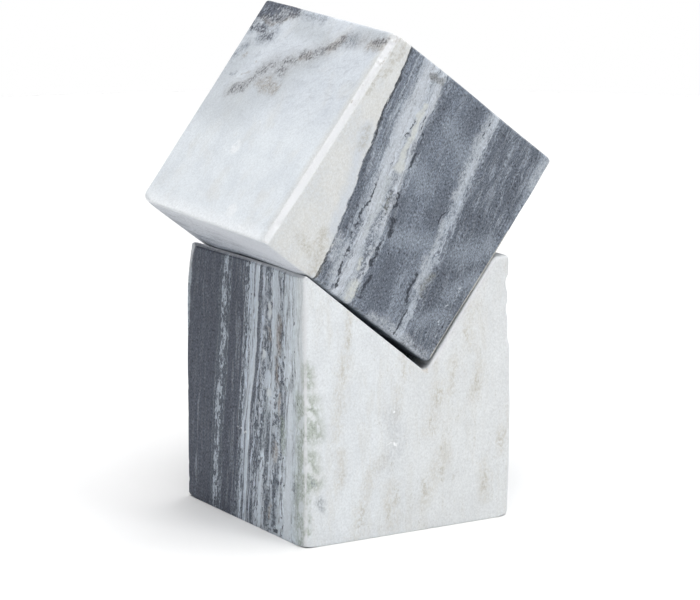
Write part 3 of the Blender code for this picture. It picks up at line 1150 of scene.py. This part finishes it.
def block_marble():
    """Return the block's marble: upright beds, broken pale beds, warm streaks in the white.

    The beds' colours come first. Over them lie thin lines and dark gaps, then the tints of the
    white, and last the marks: each list of strokes has its place, blur, breaks, share and colour.
    """
    material = bpy.data.materials.new("white banded marble")
    material.use_nodes = True
    tree = material.node_tree
    place = stone_place(tree, block_corner, 0.0)
    split = add(tree, "SeparateXYZ", {"Vector": place}).node
    level = block_level(tree, place)
    stack = add(tree, "CombineXYZ", {"X": level, "Y": split.outputs["Z"], "Z": split.outputs["X"]})
    colour, gaps, lines = lay_beds(tree, level, BLOCK_BEDS, BLOCK_BEDS_END)

    crumbs = pattern(tree, place, (0.95, 0.95, 1.7), (0.4, 0.6), 13, 3.0, 0.7)
    streaks = pattern(tree, stack, (1.3, 6.0, 5.0), (0.4, 0.58), 27, 3.0, 0.65)
    zone = zones(
        tree,
        {
            "white": (level, WHITE_STARTS, WHITE_FULL),
            "right": (split.outputs["X"], 30.0, 62.0),
            "inside": (split.outputs["Y"], 0.6, 1.6),
            "soft crumbs": (crumbs, 0.0, 1.0, 0.25),
            "firm crumbs": (crumbs, 0.0, 1.0, 0.65),
            "soft streaks": (streaks, 0.0, 1.0, 0.35),
        },
    )
    in_white = zone["white"]
    greyness = add(tree, "Math", {0: 1.0, 1: in_white}, operation="SUBTRACT")
    mottle = clouds(tree, stack, (1.2, 5.0, 4.0), 8, 4.0, 0.7)
    colour = vary(tree, colour, mottle, times(tree, greyness, 1.35))
    pale_lines = pattern(tree, stack, (1.25, 20.0, 22.0), (0.5, 0.6), 6)
    dark_lines = pattern(tree, stack, (1.25, 16.0, 18.0), (0.5, 0.6), 7)
    coats = [
        (times(tree, lines, pale_lines, 0.85), "#cdd6e0"),
        (times(tree, lines, dark_lines, 0.8), "#4a505c"),
        (times(tree, broken(tree, stack, gaps, 4), 0.95), "#545b67"),
    ]
    colour = lay_over(tree, colour, coats)
    blotches = clouds(tree, place, (2.6, 2.6, 3.8), 14, 4.0, 0.7)
    colour = vary(tree, colour, blotches, times(tree, in_white, 0.09))

    drift = pattern(tree, place, (12.0, 14.0, 20.0), (0.35, 0.68), 12, 4.0, 0.6)
    warm = pattern(tree, place, (6.0, 9.0, 26.0), (0.44, 0.72), 9, 5.0, 0.7)
    crowding = add(tree, "Math", {0: zone["right"], 1: 0.08, 2: 0.03}, operation="MULTIPLY_ADD")
    freckle_noise = clouds(tree, place, (0.85, 0.85, 1.7), 10, 3.0, 0.7)
    raised = add(tree, "Math", {0: warm, 1: crowding, 2: freckle_noise}, operation="MULTIPLY_ADD")
    limits = {"From Min": 0.6, "From Max": 0.72}
    freckles = add(tree, "MapRange", {"Value": raised, **limits}, interpolation_type="SMOOTHSTEP")
    coats = [
        (times(tree, in_white, drift, 0.3), "#c9cdd1"),
        (times(tree, in_white, warm, 0.3), "#cbc8c0"),
        (times(tree, in_white, zone["right"], 0.2), "#d3d1cb"),
        (times(tree, in_white, freckles, 0.3), "#b0aea3"),
    ]

    soft_drift = pattern(tree, place, (2.6, 2.6, 3.6), (0.3, 0.56), 29, 3.0, 0.6)
    ragged = stir(tree, stir(tree, place, 7.0, 1.0, 21), 2.0, 0.7, 22)
    calm = stir(tree, place, 5.0, 0.35, 28)
    inside, soft_crumbs, soft_streaks = zone["inside"], zone["soft crumbs"], zone["soft streaks"]
    for marks, marks_place, blur, breaks, share, hex_colour in (
        (front_marks(BEIGE_FRONT), ragged, 0.9, soft_crumbs, 0.36, "#bfbaae"),
        (front_marks(GREY_SMUDGE), ragged, 0.9, soft_crumbs, 0.4, "#b4b8bd"),
        (left_marks(DARK_SIDE, block_depth), ragged, 0.7, soft_streaks, 0.85, "#5d6570"),
        (left_marks(LIGHT_SIDE, block_depth), ragged, 0.6, soft_streaks, 0.9, "#d0d8e1"),
        (left_marks(LINE_SIDE, block_depth), calm, 0.5, inside, 0.8, "#ccd5de"),
        (left_marks(BROWN_SIDE, block_depth), ragged, 0.8, soft_streaks, 0.65, "#94897f"),
        (left_marks(GREEN_SIDE, block_depth), ragged, 0.8, soft_crumbs, 0.8, "#929e93"),
        (left_marks(BRIGHT_SIDE, block_depth), ragged, 0.6, inside, 0.75, "#dae1e8"),
        (left_marks(BLOCK_SLIVER, block_depth), ragged, 0.8, soft_crumbs, 0.8, "#b3bec7"),
        # the crushed bevel: pale crystals with a painted highlight
        (BEVEL_PALE_AND_HIGHLIGHT, place, 0.4, zone["firm crumbs"], 1.0, "#f7f9fb"),
        (front_marks(GREEN_FRONT), ragged, 0.95, soft_drift, 0.75, "#98a295"),
        (front_marks(GREY_FRONT), ragged, 0.85, soft_crumbs, 0.7, "#939aa0"),
        (front_marks(OLIVE_FRONT), ragged, 0.95, crumbs, 0.36, "#a5a08f"),
        (front_marks(VALLEY_STAIN), ragged, 0.8, soft_crumbs, 0.7, "#b3a68c"),
        (left_marks(BLOCK_OVALS, block_depth), ragged, 0.4, inside, 0.85, "#d6dce0"),
        (left_marks(SAW_SCRATCH, block_depth), ragged, 0.5, soft_streaks, 0.8, "#e6ebf0"),
        (front_marks(WHITE_FRONT), ragged, 0.5, in_white, 0.85, "#e0e3e5"),
        (front_marks(FLECK_FRONT), ragged, 0.4, in_white, 0.9, "#f4f6f8"),
    ):
        shown = near_lines(tree, marks_place, marks, blur)
        coats.append((times(tree, shown, breaks, share), hex_colour))
    colour = lay_over(tree, colour, coats)
    honed(material, place, stack, colour)
    return material


block.data.materials.append(block_marble())

# %% [markdown]
# ## The cube's marble
#
# In the cube the beds cross the front face on a slant. A sheet of clean white on the left meets the
# greys along one sharp dark line. Then come a blue-grey bed, a pale mottled one with a cream
# streak, and slate grey with one lighter stripe. Brown iron stains gather in a vein near the rear
# top of the white side, with darker cores and a soft grey cloud below them.

# %% Cube beds
CUBE_SLATE = "#6e7682"
# A bed is given as for the block, and its start is in mm along the slant
CUBE_BEDS = [
    (-60, "#dadcdc", 0.0, 0.0),
    (11.0, "#737b87", 0.1, 0.6),
    (14.6, "#828a95", 0.25, 0.7),
    (18.2, "#a6adb7", 0.28, 0.6),
    (20.6, "#c0c6ce", 0.2, 0.5),
    (25.6, "#b0b7c0", 0.28, 0.6),
    (28.6, "#bcc2ca", 0.28, 0.5),
    (32.0, "#868e99", 0.46, 0.6),
    (35.0, CUBE_SLATE, 0.1, 0.2),
    (52.0, CUBE_SLATE, 0.05, 0.2),
    (58.4, "#8b939d", 0.5, 0.5),
    (60.4, "#a8b0ba", 0.38, 0.4),
    (64.4, "#959da7", 0.5, 0.5),
    (66.4, "#626974", 0.05, 0.34),
    (91.0, "#868e99", 0.4, 0.4),
    (99.0, CUBE_SLATE, 0.1, 0.2),
]
CUBE_BEDS_END = 140
# The dark seam between the white and the greys, and its half width
SEAM_LEVEL, SEAM_HALF = 10.9, 0.55
# The level rises by this much for each mm across, back and up, from its value at the corner
CUBE_SLANT = (1.0, 0.144, 0.18)
CUBE_CORNER_LEVEL = -18.0
# The beds bow to and fro up the front: how far, about which height and on which length
BOW, BOW_MIDDLE, BOW_LENGTH = 1.1, 45.0, 19.0
# At the rear the level falls, and to the right it rises for each mm down: by how much, from, to
REAR_FALL, REAR_FROM, REAR_FULL = -2.4, 78.0, 104.0
RIGHT_RISE, RIGHT_FROM, RIGHT_FULL = 0.03, 40.0, 75.0
CUBE_WAVES = [
    ((40.0, 40.0, 40.0), 0.6, 11),
    ((6.0, 9.0, 11.0), 0.9, 12),
    ((2.0, 3.0, 3.4), 0.6, 13),
]
print(len(CUBE_BEDS), "beds in the cube, the greys from", CUBE_BEDS[1][0], "mm")

# %% Cube marks
# Marks on the front first, then those on the left side, measured from its rear arris
CREAM = [(30.2, 84, 31.0, 76, 1.4), (31.0, 76, 33.6, 64, 1.3), (33.6, 64, 35.4, 56.5, 1.7)]
CREAM_FOOT = [(46.5, 8, 47.5, 3, 2.0), (43.2, 17, 43.6, 14, 0.9)]
GREY_STREAK = [(33.5, 51, 36, 40, 1.6), (36, 38, 37.5, 26, 1.3)]
LOW_SHADES = [
    (38, 46, 41, 30, 2.2), (42, 28, 46, 14, 2.0), (40, 34, 41, 31, 1.2), (33, 30, 35, 18, 1.4),
]
CUBE_PALE = [
    (23.5, 95, 25, 70, 2.6), (26, 68, 29, 56, 2.4), (29, 55, 34, 36, 2.0), (28, 20, 31, 12, 2.4),
    (39, 22, 42, 8, 2.0), (33, 18, 35, 4, 1.8), (62, 1.8, 92, 1.6, 2.6), (31, 92, 34, 86, 1.6),
    (64, 84, 65.5, 74, 1.6), (65, 72, 66, 62, 1.8), (68, 50, 70, 38, 1.4), (70, 34, 73, 24, 1.8),
    (61.5, 99, 62.5, 82, 2.8), (62.5, 82, 64, 70, 2.2), (95.4, 99, 95, 86, 2.2),
]
CRACKS = [
    (29.6, 48, 31, 40, 0.5), (31, 40, 32.2, 26, 0.6), (32.6, 24, 36, 11, 0.6), (36, 11, 39, 3, 0.8),
    (65, 54, 65.4, 46, 0.6), (69.2, 27, 71.4, 14, 0.75), (74.6, 12, 75.4, 2, 0.65),
    (61, 95, 61.4, 88, 0.4), (33.2, 80, 34.6, 74, 0.35), (36.8, 74, 37, 70, 0.4),
    (38.6, 65, 39.6, 60, 0.8), (41.6, 49, 43.5, 44, 0.8), (46, 28, 48.5, 18, 0.6),
    (50.5, 14, 52, 5, 0.9), (24.5, 26, 26, 21, 0.6), (46.5, 38, 48, 33, 1.2),
    (6.6, 93, 5.6, 84, 0.25), (29.3, 76, 29.8, 62, 0.3),
]
CUBE_SHADES = [
    (61, 60, 62, 49, 4.0), (44, 46, 49, 35, 3.0), (80, 60, 77, 56, 3.4), (80, 34, 82, 22, 5.0),
    (17, 58, 24, 36, 2.4), (26, 33, 28, 22, 2.4), (38, 92, 38, 66, 1.8), (30, 8, 33, 3, 1.8),
    (52, 94, 54, 80, 4.0), (55, 24, 60, 8, 5.0), (72, 92, 74, 84, 2.6), (86, 84, 88, 74, 3.0),
]
CUBE_LIGHTS = [
    (43, 60, 50, 57, 4.0), (50, 34, 66, 39, 3.6), (82, 44, 93, 54, 4.4), (46, 84, 58, 78, 4.0),
    (88, 28, 94, 40, 3.0), (64.3, 24, 67, 5, 1.0), (76, 95, 78, 86, 0.9), (75.3, 81, 75.6, 78, 1.2),
    (94.5, 96, 95, 86, 2.4), (40, 20, 44, 30, 2.0), (82, 12, 90, 20, 3.0),
]
WHITE_VEINS = [
    (92.5, 47, 91.3, 36, 0.24), (91.3, 36, 90.4, 21, 0.26), (90, 18, 91, 15, 0.4),
    (94, 14.5, 92.2, 7.5, 0.24), (42.8, 82.6, 44.4, 82.2, 0.24), (40.6, 33, 40.8, 31, 0.6),
]
HAIR_FIELD = [(76, 96, 84, 72, 7.0), (88, 92, 90, 66, 5.0), (66, 26, 68, 6, 3.0)]
# A painted highlight: a thin cream line up the right edge of the front, where its bevel catches
# light
RIGHT_EDGE_HIGHLIGHT = [(96.7, 3, 96.7, 64, 0.5)]
GREY_PATCH = [(26.5, 95.5, 30.5, 96, 1.6)]
OLIVE_CUBE = [(75.5, 30, 77, 22, 1.5), (38.5, 46, 40, 40, 1.0)]
WHITE_TINTS = [
    (7, 99, 6.2, 82, 1.0), (3.4, 100, 3.8, 92, 1.0), (22, 17, 27, 3, 2.6), (12, 9, 22, 8, 2.0),
    (20.3, 18, 21, 12, 0.6), (13, 62, 15, 54, 1.6), (3, 84, 4, 74, 1.4),
]
SEAM_HALO = [(13, 62, 20, 38, 2.6), (20, 38, 25, 20, 2.4)]
STRIP_PITS = [(1.4, 99, 1.0, 86, 1.3), (0.8, 86, 0.6, 66, 0.8)]
# The rubbed strip between the front and the white side, given as places in the stone instead
STRIP_LINES = [((0.5, 1.3, 0.0), (0.9, 0.7, 45.0), 1.7), ((0.9, 0.7, 45.0), (1.3, 0.3, 100.0), 1.7)]
# The grey corner at the rear top of the white side
DARK_CORNER = [
    (0, 97.5, 27, 98.5, 3.4), (0, 93, 20, 93, 2.6), (14, 84, 20, 84, 1.7), (2, 87, 12, 86, 1.9),
    (22, 95, 30, 97, 1.6),
]
# The stained vein: its soft body, and its darker cores
VEIN_BODY = [
    (102, 95, 92, 93, 3.4), (86, 93, 74, 91, 3.4), (73, 91, 66, 86, 4.2), (66, 86, 55, 81, 4.0),
    (55, 81, 42, 75, 4.4), (44, 74, 30, 71, 4.6), (32, 71, 24, 63, 4.2), (25, 62, 16, 57.5, 4.0),
]
VEIN = [
    (102, 96, 94, 94, 1.8), (71, 91, 69, 87, 2.0), (68, 88, 64, 85, 1.6), (63, 84, 58, 82, 1.9),
    (56, 80.5, 50, 80.5, 1.6), (48, 77, 40, 75, 1.7), (44, 71, 40.5, 71, 1.9),
    (35, 73, 31, 72, 1.5), (31, 70, 28.5, 68.5, 1.9), (27, 66, 25, 62, 1.8),
    (23, 60, 17, 57.5, 2.4),
]
BROWN_LEFT = [
    (46, 63, 36, 62.5, 3.0), (38, 66, 33, 63, 2.4), (11, 73.5, 9.5, 72.5, 1.0),
    (21.5, 66.7, 16.5, 66, 0.6), (22.5, 72, 21, 71.7, 0.5), (71, 91, 66, 86, 2.2),
    (101, 94, 92, 92, 2.2), (56, 81, 50, 79, 1.4), (6, 92, 16, 89.5, 1.1), (16, 89.5, 27, 96, 1.1),
]
GREY_LEFT = [
    (80, 92, 73, 91, 3.4), (20, 84, 13, 83, 3.4), (9, 88, 2, 85, 3.2), (13, 88, 22, 87, 2.6),
    (28, 98, 50, 98, 2.6), (12, 65, 9, 64, 1.2), (7, 78, 3, 72, 2.4),
]
GREY_CLOUD = [
    (2, 50, 30, 50, 9.0), (30, 55, 50, 68, 9.0), (57, 91, 36, 92, 4.0), (100, 97, 80, 96, 4.0),
    (10, 76, 2, 60, 7.0), (62, 78, 50, 72, 5.0), (24, 46.5, 19, 46, 3.0),
]
WHITE_LEFT = [
    (46, 33, 43, 34.5, 2.2), (70, 8, 67.5, 8, 2.2), (54, 46, 48, 47.5, 0.4),
    (79, 2.5, 84, 1.8, 0.8),
]


print(len(VEIN) + len(VEIN_BODY), "strokes in the stained vein,", len(CRACKS), "in the cracks")


# %% Cube marble
def cube_level(tree, place):
    """Return the bed level: a slant through the cube, bowed up the front and bent at the rear."""
    split = add(tree, "SeparateXYZ", {"Vector": place}).node
    level = add(tree, "VectorMath", {0: place, 1: CUBE_SLANT}, 1, operation="DOT_PRODUCT")
    level = add(tree, "Math", {0: level, 1: CUBE_CORNER_LEVEL}, operation="ADD")
    sockets = {0: split.outputs["Z"], 1: 1 / BOW_LENGTH, 2: -BOW_MIDDLE / BOW_LENGTH}
    phase = add(tree, "Math", sockets, operation="MULTIPLY_ADD")
    bow = add(tree, "Math", {0: phase}, operation="SINE")
    level = add(tree, "Math", {0: bow, 1: BOW, 2: level}, operation="MULTIPLY_ADD")
    limits = {"From Min": REAR_FROM, "From Max": REAR_FULL, "To Max": REAR_FALL}
    rear = add(tree, "MapRange", {"Value": split.outputs["Y"], **limits})
    level = add(tree, "Math", {0: rear, 1: level}, operation="ADD")
    limits = {"From Min": RIGHT_FROM, "From Max": RIGHT_FULL, "To Max": RIGHT_RISE}
    right = add(tree, "MapRange", {"Value": split.outputs["X"], **limits})
    drop = add(tree, "Math", {0: 100.0, 1: split.outputs["Z"]}, operation="SUBTRACT")
    level = add(tree, "Math", {0: right, 1: drop, 2: level}, operation="MULTIPLY_ADD")
    return sway(tree, level, place, CUBE_WAVES)


def cube_marble():
    """Return the cube's marble: slanting beds, cracks, cream and brown stains.

    It is built up as the block's is. The sole, seen edge on, gets painted shade and slate tints.
    """
    material = bpy.data.materials.new("grey banded marble")
    material.use_nodes = True
    tree = material.node_tree
    place = stone_place(tree, cube_corner, CUBE_TILT)
    split = add(tree, "SeparateXYZ", {"Vector": place}).node
    across, back, up = (split.outputs[axis] for axis in "XYZ")
    level = cube_level(tree, place)
    stack = add(tree, "CombineXYZ", {"X": level, "Y": up, "Z": back})
    colour, gaps, lines = lay_beds(tree, level, CUBE_BEDS, CUBE_BEDS_END)

    crumbs = pattern(tree, place, (1.1, 1.2, 1.3), (0.38, 0.6), 20, 3.0, 0.72)
    under = add(tree, "VectorMath", {0: place, 1: (-0.25, 0.0, 1.0)}, 1, operation="DOT_PRODUCT")
    rearward = add(tree, "VectorMath", {0: place, 1: (1.0, 0.25, 0.0)}, 1, operation="DOT_PRODUCT")
    zone = zones(
        tree,
        {
            "grey": (level, 10.6, 11.4),
            "seam": (back, 60.0, 30.0),
            "inside": (back, 1.5, 7.0),
            "high": (up, 42.0, 66.0),
            "foot": (up, 7.0, 1.0),
            "above sole": (up, 1.0, 5.0, 0.15),
            "below top": (up, 99.0, 95.0, 0.3),
            "sole": (up, 0.9, 0.3),
            "past arris": (under, -0.3, -0.8),
            "left": (across, 40.0, 34.0),
            "behind": (back, 0.8, 3.0),
            "slate sole": (rearward, 18.0, 44.0),
            "soft crumbs": (crumbs, 0.0, 1.0, 0.35),
            "firm crumbs": (crumbs, 0.0, 1.0, 0.8),
        },
    )
    greyness, inside, high = zone["grey"], zone["inside"], zone["high"]
    in_white = add(tree, "Math", {0: 1.0, 1: greyness}, operation="SUBTRACT")
    outside = add(tree, "Math", {0: 1.0, 1: inside}, operation="SUBTRACT")
    mottle = clouds(tree, stack, (1.2, 4.4, 4.0), 18, 4.0, 0.7)
    colour = vary(tree, colour, mottle, times(tree, greyness, 1.15))
    blotches = clouds(tree, place, (4.5, 5.0, 6.0), 24, 4.0, 0.65)
    colour = vary(tree, colour, blotches, times(tree, greyness, 0.5))
    pale_lines = pattern(tree, stack, (0.9, 15.0, 18.0), (0.5, 0.62), 16)
    dark_lines = pattern(tree, stack, (0.8, 12.0, 16.0), (0.51, 0.63), 25)
    coats = [
        (times(tree, lines, pale_lines, 0.65), "#bcc4cd"),
        (times(tree, lines, dark_lines, 0.7), "#545a65"),
        (times(tree, broken(tree, stack, gaps, 15), 0.75), "#616874"),
    ]
    colour = lay_over(tree, colour, coats)

    seam_breaks = pattern(tree, place, (2.4, 3.0, 4.0), (0.26, 0.46), 23, 3.0, 0.6)
    seam = times(tree, near_level(tree, level, SEAM_LEVEL, SEAM_HALF), zone["seam"])
    along_vein = add(tree, "VectorMath", {0: place, 1: (0.0, 0.45, 1.0)}, 1, operation="DOT_PRODUCT")
    vein_place = add(tree, "CombineXYZ", {"X": along_vein, "Y": back, "Z": across})
    vein_place = stir(tree, vein_place, 9.0, 2.0, 33)
    wisps = pattern(tree, vein_place, (2.6, 7.0, 6.0), (0.46, 0.68), 26, 4.0, 0.72)
    drift = pattern(tree, place, (13.0, 14.0, 14.0), (0.38, 0.7), 17, 4.0, 0.6)
    warm = pattern(tree, place, (9.0, 16.0, 20.0), (0.5, 0.74), 19, 4.0, 0.6)
    sole = times(tree, zone["sole"], zone["past arris"], zone["left"], zone["behind"])
    sole_lines = pattern(tree, stir(tree, place, 5.0, 0.5, 35), (2.8, 34.0, 2.8), (0.47, 0.6), 36)
    coats = [
        (times(tree, in_white, inside, 0.7), "#e6edf4"),
        (times(tree, in_white, drift, 0.35), "#c9d0d8"),
        (times(tree, in_white, inside, high, 0.4), "#c5ccd6"),
        (times(tree, in_white, inside, high, wisps, 0.42), "#afb5be"),
        (times(tree, in_white, warm, 0.25), "#cfccc4"),
        (times(tree, in_white, outside, crumbs, 0.3), "#c6c4bd"),
        (times(tree, seam, seam_breaks, 0.95), "#3b3f47"),
        # painted light: the white side is made paler along its foot, against the shade by its lower
        # arris
        (times(tree, in_white, inside, zone["foot"], 0.7), "#f3f6f9"),
        # painted shade: the sole's white marble is greyed, since it faces down
        (times(tree, sole, 0.95), "#c3c7cd"),
        (times(tree, sole, zone["slate sole"], 0.7), "#7d8592"),
        (times(tree, sole, zone["slate sole"], sole_lines, 0.6), "#545a66"),
    ]

    hairs = pattern(tree, stack, (0.4, 9.0, 9.0), (0.56, 0.64), 37)
    ragged = stir(tree, stir(tree, place, 8.0, 1.2, 31), 2.2, 0.8, 32)
    soft_crumbs, firm_crumbs, depth = zone["soft crumbs"], zone["firm crumbs"], cube_size[1]
    for marks, marks_place, blur, breaks, share, hex_colour in (
        (front_marks(CUBE_SHADES), ragged, 0.95, greyness, 0.6, "#565c67"),
        (front_marks(CUBE_LIGHTS), ragged, 0.95, greyness, 0.55, "#929ba6"),
        (front_marks(SEAM_HALO), ragged, 0.95, in_white, 0.5, "#c3ccd8"),
        (left_marks(GREY_CLOUD, depth), ragged, 0.95, inside, 0.45, "#b4babf"),
        (left_marks(VEIN_BODY, depth), ragged, 0.95, inside, 0.45, "#a5a5a6"),
        (front_marks(WHITE_TINTS), ragged, 0.9, soft_crumbs, 0.5, "#aeaa9e"),
        (front_marks(CUBE_PALE), ragged, 0.7, soft_crumbs, 0.65, "#bcc2c9"),
        (front_marks(LOW_SHADES), ragged, 0.85, crumbs, 0.9, "#5f6671"),
        (front_marks(GREY_STREAK), ragged, 0.6, soft_crumbs, 0.8, "#b9bfc3"),
        (front_marks(HAIR_FIELD), ragged, 0.9, hairs, 0.5, "#a3abb5"),
        (front_marks(GREY_PATCH), ragged, 0.5, firm_crumbs, 0.8, "#7f8182"),
        (front_marks(OLIVE_CUBE), ragged, 0.8, soft_crumbs, 0.7, "#7d7f7a"),
        (left_marks(GREY_LEFT, depth), ragged, 0.8, soft_crumbs, 0.7, "#8b939e"),
        (left_marks(BROWN_LEFT, depth), ragged, 0.8, soft_crumbs, 0.6, "#968d83"),
        (left_marks(DARK_CORNER, depth), ragged, 0.7, soft_crumbs, 0.95, "#5c5f68"),
        (left_marks(VEIN, depth), ragged, 0.7, crumbs, 0.85, "#74757a"),
        (front_marks(CREAM), ragged, 0.45, firm_crumbs, 0.85, "#cbcecb"),
        (front_marks(CREAM_FOOT), ragged, 0.7, soft_crumbs, 0.85, "#cbcec9"),
        (front_marks(CRACKS), ragged, 0.4, greyness, 0.9, "#363a43"),
        (front_marks(WHITE_VEINS), ragged, 0.6, crumbs, 0.75, "#c4cad2"),
        # painted highlight up the right edge of the front
        (front_marks(RIGHT_EDGE_HIGHLIGHT), place, 0.4, firm_crumbs, 0.8, "#d8d4ca"),
        (left_marks(WHITE_LEFT, depth), ragged, 0.6, seam_breaks, 0.7, "#f0f3f6"),
        (STRIP_LINES, place, 0.25, firm_crumbs, 0.95, "#e6e8ea"),
        (front_marks(STRIP_PITS), ragged, 0.8, crumbs, 0.75, "#a1988c"),
    ):
        shown = near_lines(tree, marks_place, marks, blur)
        coats.append((times(tree, shown, breaks, share), hex_colour))
    colour = lay_over(tree, colour, coats)
    bare = times(tree, zone["above sole"], zone["below top"])
    honed(material, place, stack, colour, bare)
    return material


cube.data.materials.append(cube_marble())

# %% [markdown]
# ## Riding on the frame
#
# The CAD frame carries the weight and the collision shapes. Each dressed stone says which CAD node
# it stands for, and which body carries it.

# %% Ties to the frame
for piece, node, finish in (
    (block, "notched_block", "white_banded_marble"),
    (cube, "tilted_cube", "grey_banded_marble"),
):
    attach(piece, "root")
    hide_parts(node)
    print(piece.name, "stands for", node)

# %% [markdown]
# ## Table top, light and camera
#
# The stones stand on a round white table top in a white room. The strongest soft light hangs right
# overhead, which keeps the shadow short and close to the foot. One stands high beside the camera
# and lights both faces that it sees. Others stand to the front, the right and the rear right, so
# that the shadow falls to the left, and a low card in front brightens the notch under the cube. The
# room is bright at table height, so the table melts into it, and dark above.
# The left side comes out darker than the front. The camera looks down a little from the front left
# through a long lens, so the stones' edges stay almost parallel.

# %% Floor
FLOOR_RADIUS = 1.0
FLOOR_SIDES = 128
FLOOR_WHITE = 0.92

turns = np.linspace(0.0, 2 * math.pi, FLOOR_SIDES, endpoint=False)
rim = np.stack([np.cos(turns), np.sin(turns), np.zeros(FLOOR_SIDES)], 1) * FLOOR_RADIUS
floor_mesh = bpy.data.meshes.new("studio_floor")
floor_mesh.from_pydata(rim.tolist(), [], [list(range(FLOOR_SIDES))])
floor = bpy.data.objects.new("studio_floor", floor_mesh)
bpy.context.scene.collection.objects.link(floor)
white_paper = bpy.data.materials.new("white studio paper")
white_paper.use_nodes = True
paper = white_paper.node_tree.nodes["Principled BSDF"]
paper.inputs["Base Color"].default_value = (FLOOR_WHITE, FLOOR_WHITE, FLOOR_WHITE, 1.0)
paper.inputs["Roughness"].default_value = 0.9
paper.inputs["Specular IOR Level"].default_value = 0.1
floor_mesh.materials.append(white_paper)
print("floor", 2 * FLOOR_RADIUS, "m across, reflects", FLOOR_WHITE, "of the light")

# %% Lights
LIGHTS = {
    "overhead softbox": {"place": (0.0, 0.0, 4.0), "size": 3.7, "watts": 147.0},
    "camera-side softbox": {"place": (-0.75, -1.2, 2.4), "size": 1.2, "watts": 23.9},
    "front lamp": {"place": (0.47, -1.42, 2.2), "size": 0.6, "watts": 11.3},
    "right softbox": {"place": (1.8, -0.6, 2.2), "size": 1.6, "watts": 11.5},
    "rear softbox": {"place": (1.5, 1.0, 2.2), "size": 1.6, "watts": 13.2},
    "low front card": {"place": (0.0, -1.5, 0.3), "size": 0.7, "watts": 1.14},
}
AIM = (0.0, 0.0, 0.1)
ROOM_LOW = 1.0
ROOM_HIGH = 0.0
ROOM_FADE = (0.02, 0.12)


def aim_at(thing, place, target):
    """Put a light or camera at a place, its -Z axis pointing at the target."""
    x, y, z = np.subtract(target, place)
    thing.location = place
    thing.rotation_euler = (math.atan2(math.hypot(x, y), -z), 0.0, math.atan2(-x, y))


for name, light in LIGHTS.items():
    lamp = bpy.data.lights.new(name, "AREA")
    lamp.size = light["size"]
    lamp.energy = light["watts"]
    lamp_object = bpy.data.objects.new(name, lamp)
    lamp_object.visible_camera = False
    bpy.context.scene.collection.objects.link(lamp_object)
    aim_at(lamp_object, light["place"], AIM)
    print(name, light["watts"], "W,", light["size"], "m wide, at", light["place"])

room = bpy.data.worlds.new("white room")
room.use_nodes = True
direction = add(room.node_tree, "TexCoord", {}, "Generated")
rise = add(room.node_tree, "SeparateXYZ", {"Vector": direction}, "Z")
fade = {"From Min": ROOM_FADE[0], "From Max": ROOM_FADE[1], "To Min": ROOM_LOW, "To Max": ROOM_HIGH}
sockets = {"Value": rise, **fade}
strength = add(room.node_tree, "MapRange", sockets, interpolation_type="SMOOTHSTEP")
background = room.node_tree.nodes["Background"]
background.inputs["Color"].default_value = (1.0, 1.0, 1.0, 1.0)
room.node_tree.links.new(strength, background.inputs["Strength"])
bpy.context.scene.world = room
bpy.context.scene.view_settings.view_transform = "Standard"

# %% Camera
CAMERA_PLACE = (-0.925, -1.529, 0.495)
CAMERA_YAW = math.radians(31.2)
CAMERA_PITCH = math.radians(12.81)
CAMERA_LENS = 225.8
SENSOR_WIDTH = 36.0
SIGHT_END = 60.0

camera = bpy.data.objects.new("camera", bpy.data.cameras.new("camera"))
camera.data.sensor_width = SENSOR_WIDTH
camera.data.lens = CAMERA_LENS
camera.data.clip_end = SIGHT_END
camera.location = CAMERA_PLACE
camera.rotation_euler = (math.radians(90) - CAMERA_PITCH, 0.0, -CAMERA_YAW)
bpy.context.scene.collection.objects.link(camera)
bpy.context.scene.camera = camera
distance = math.dist(CAMERA_PLACE, AIM)
view_width = distance * SENSOR_WIDTH / CAMERA_LENS
print("camera", round(distance, 2), "m away, sees", round(view_width / MM), "mm across")
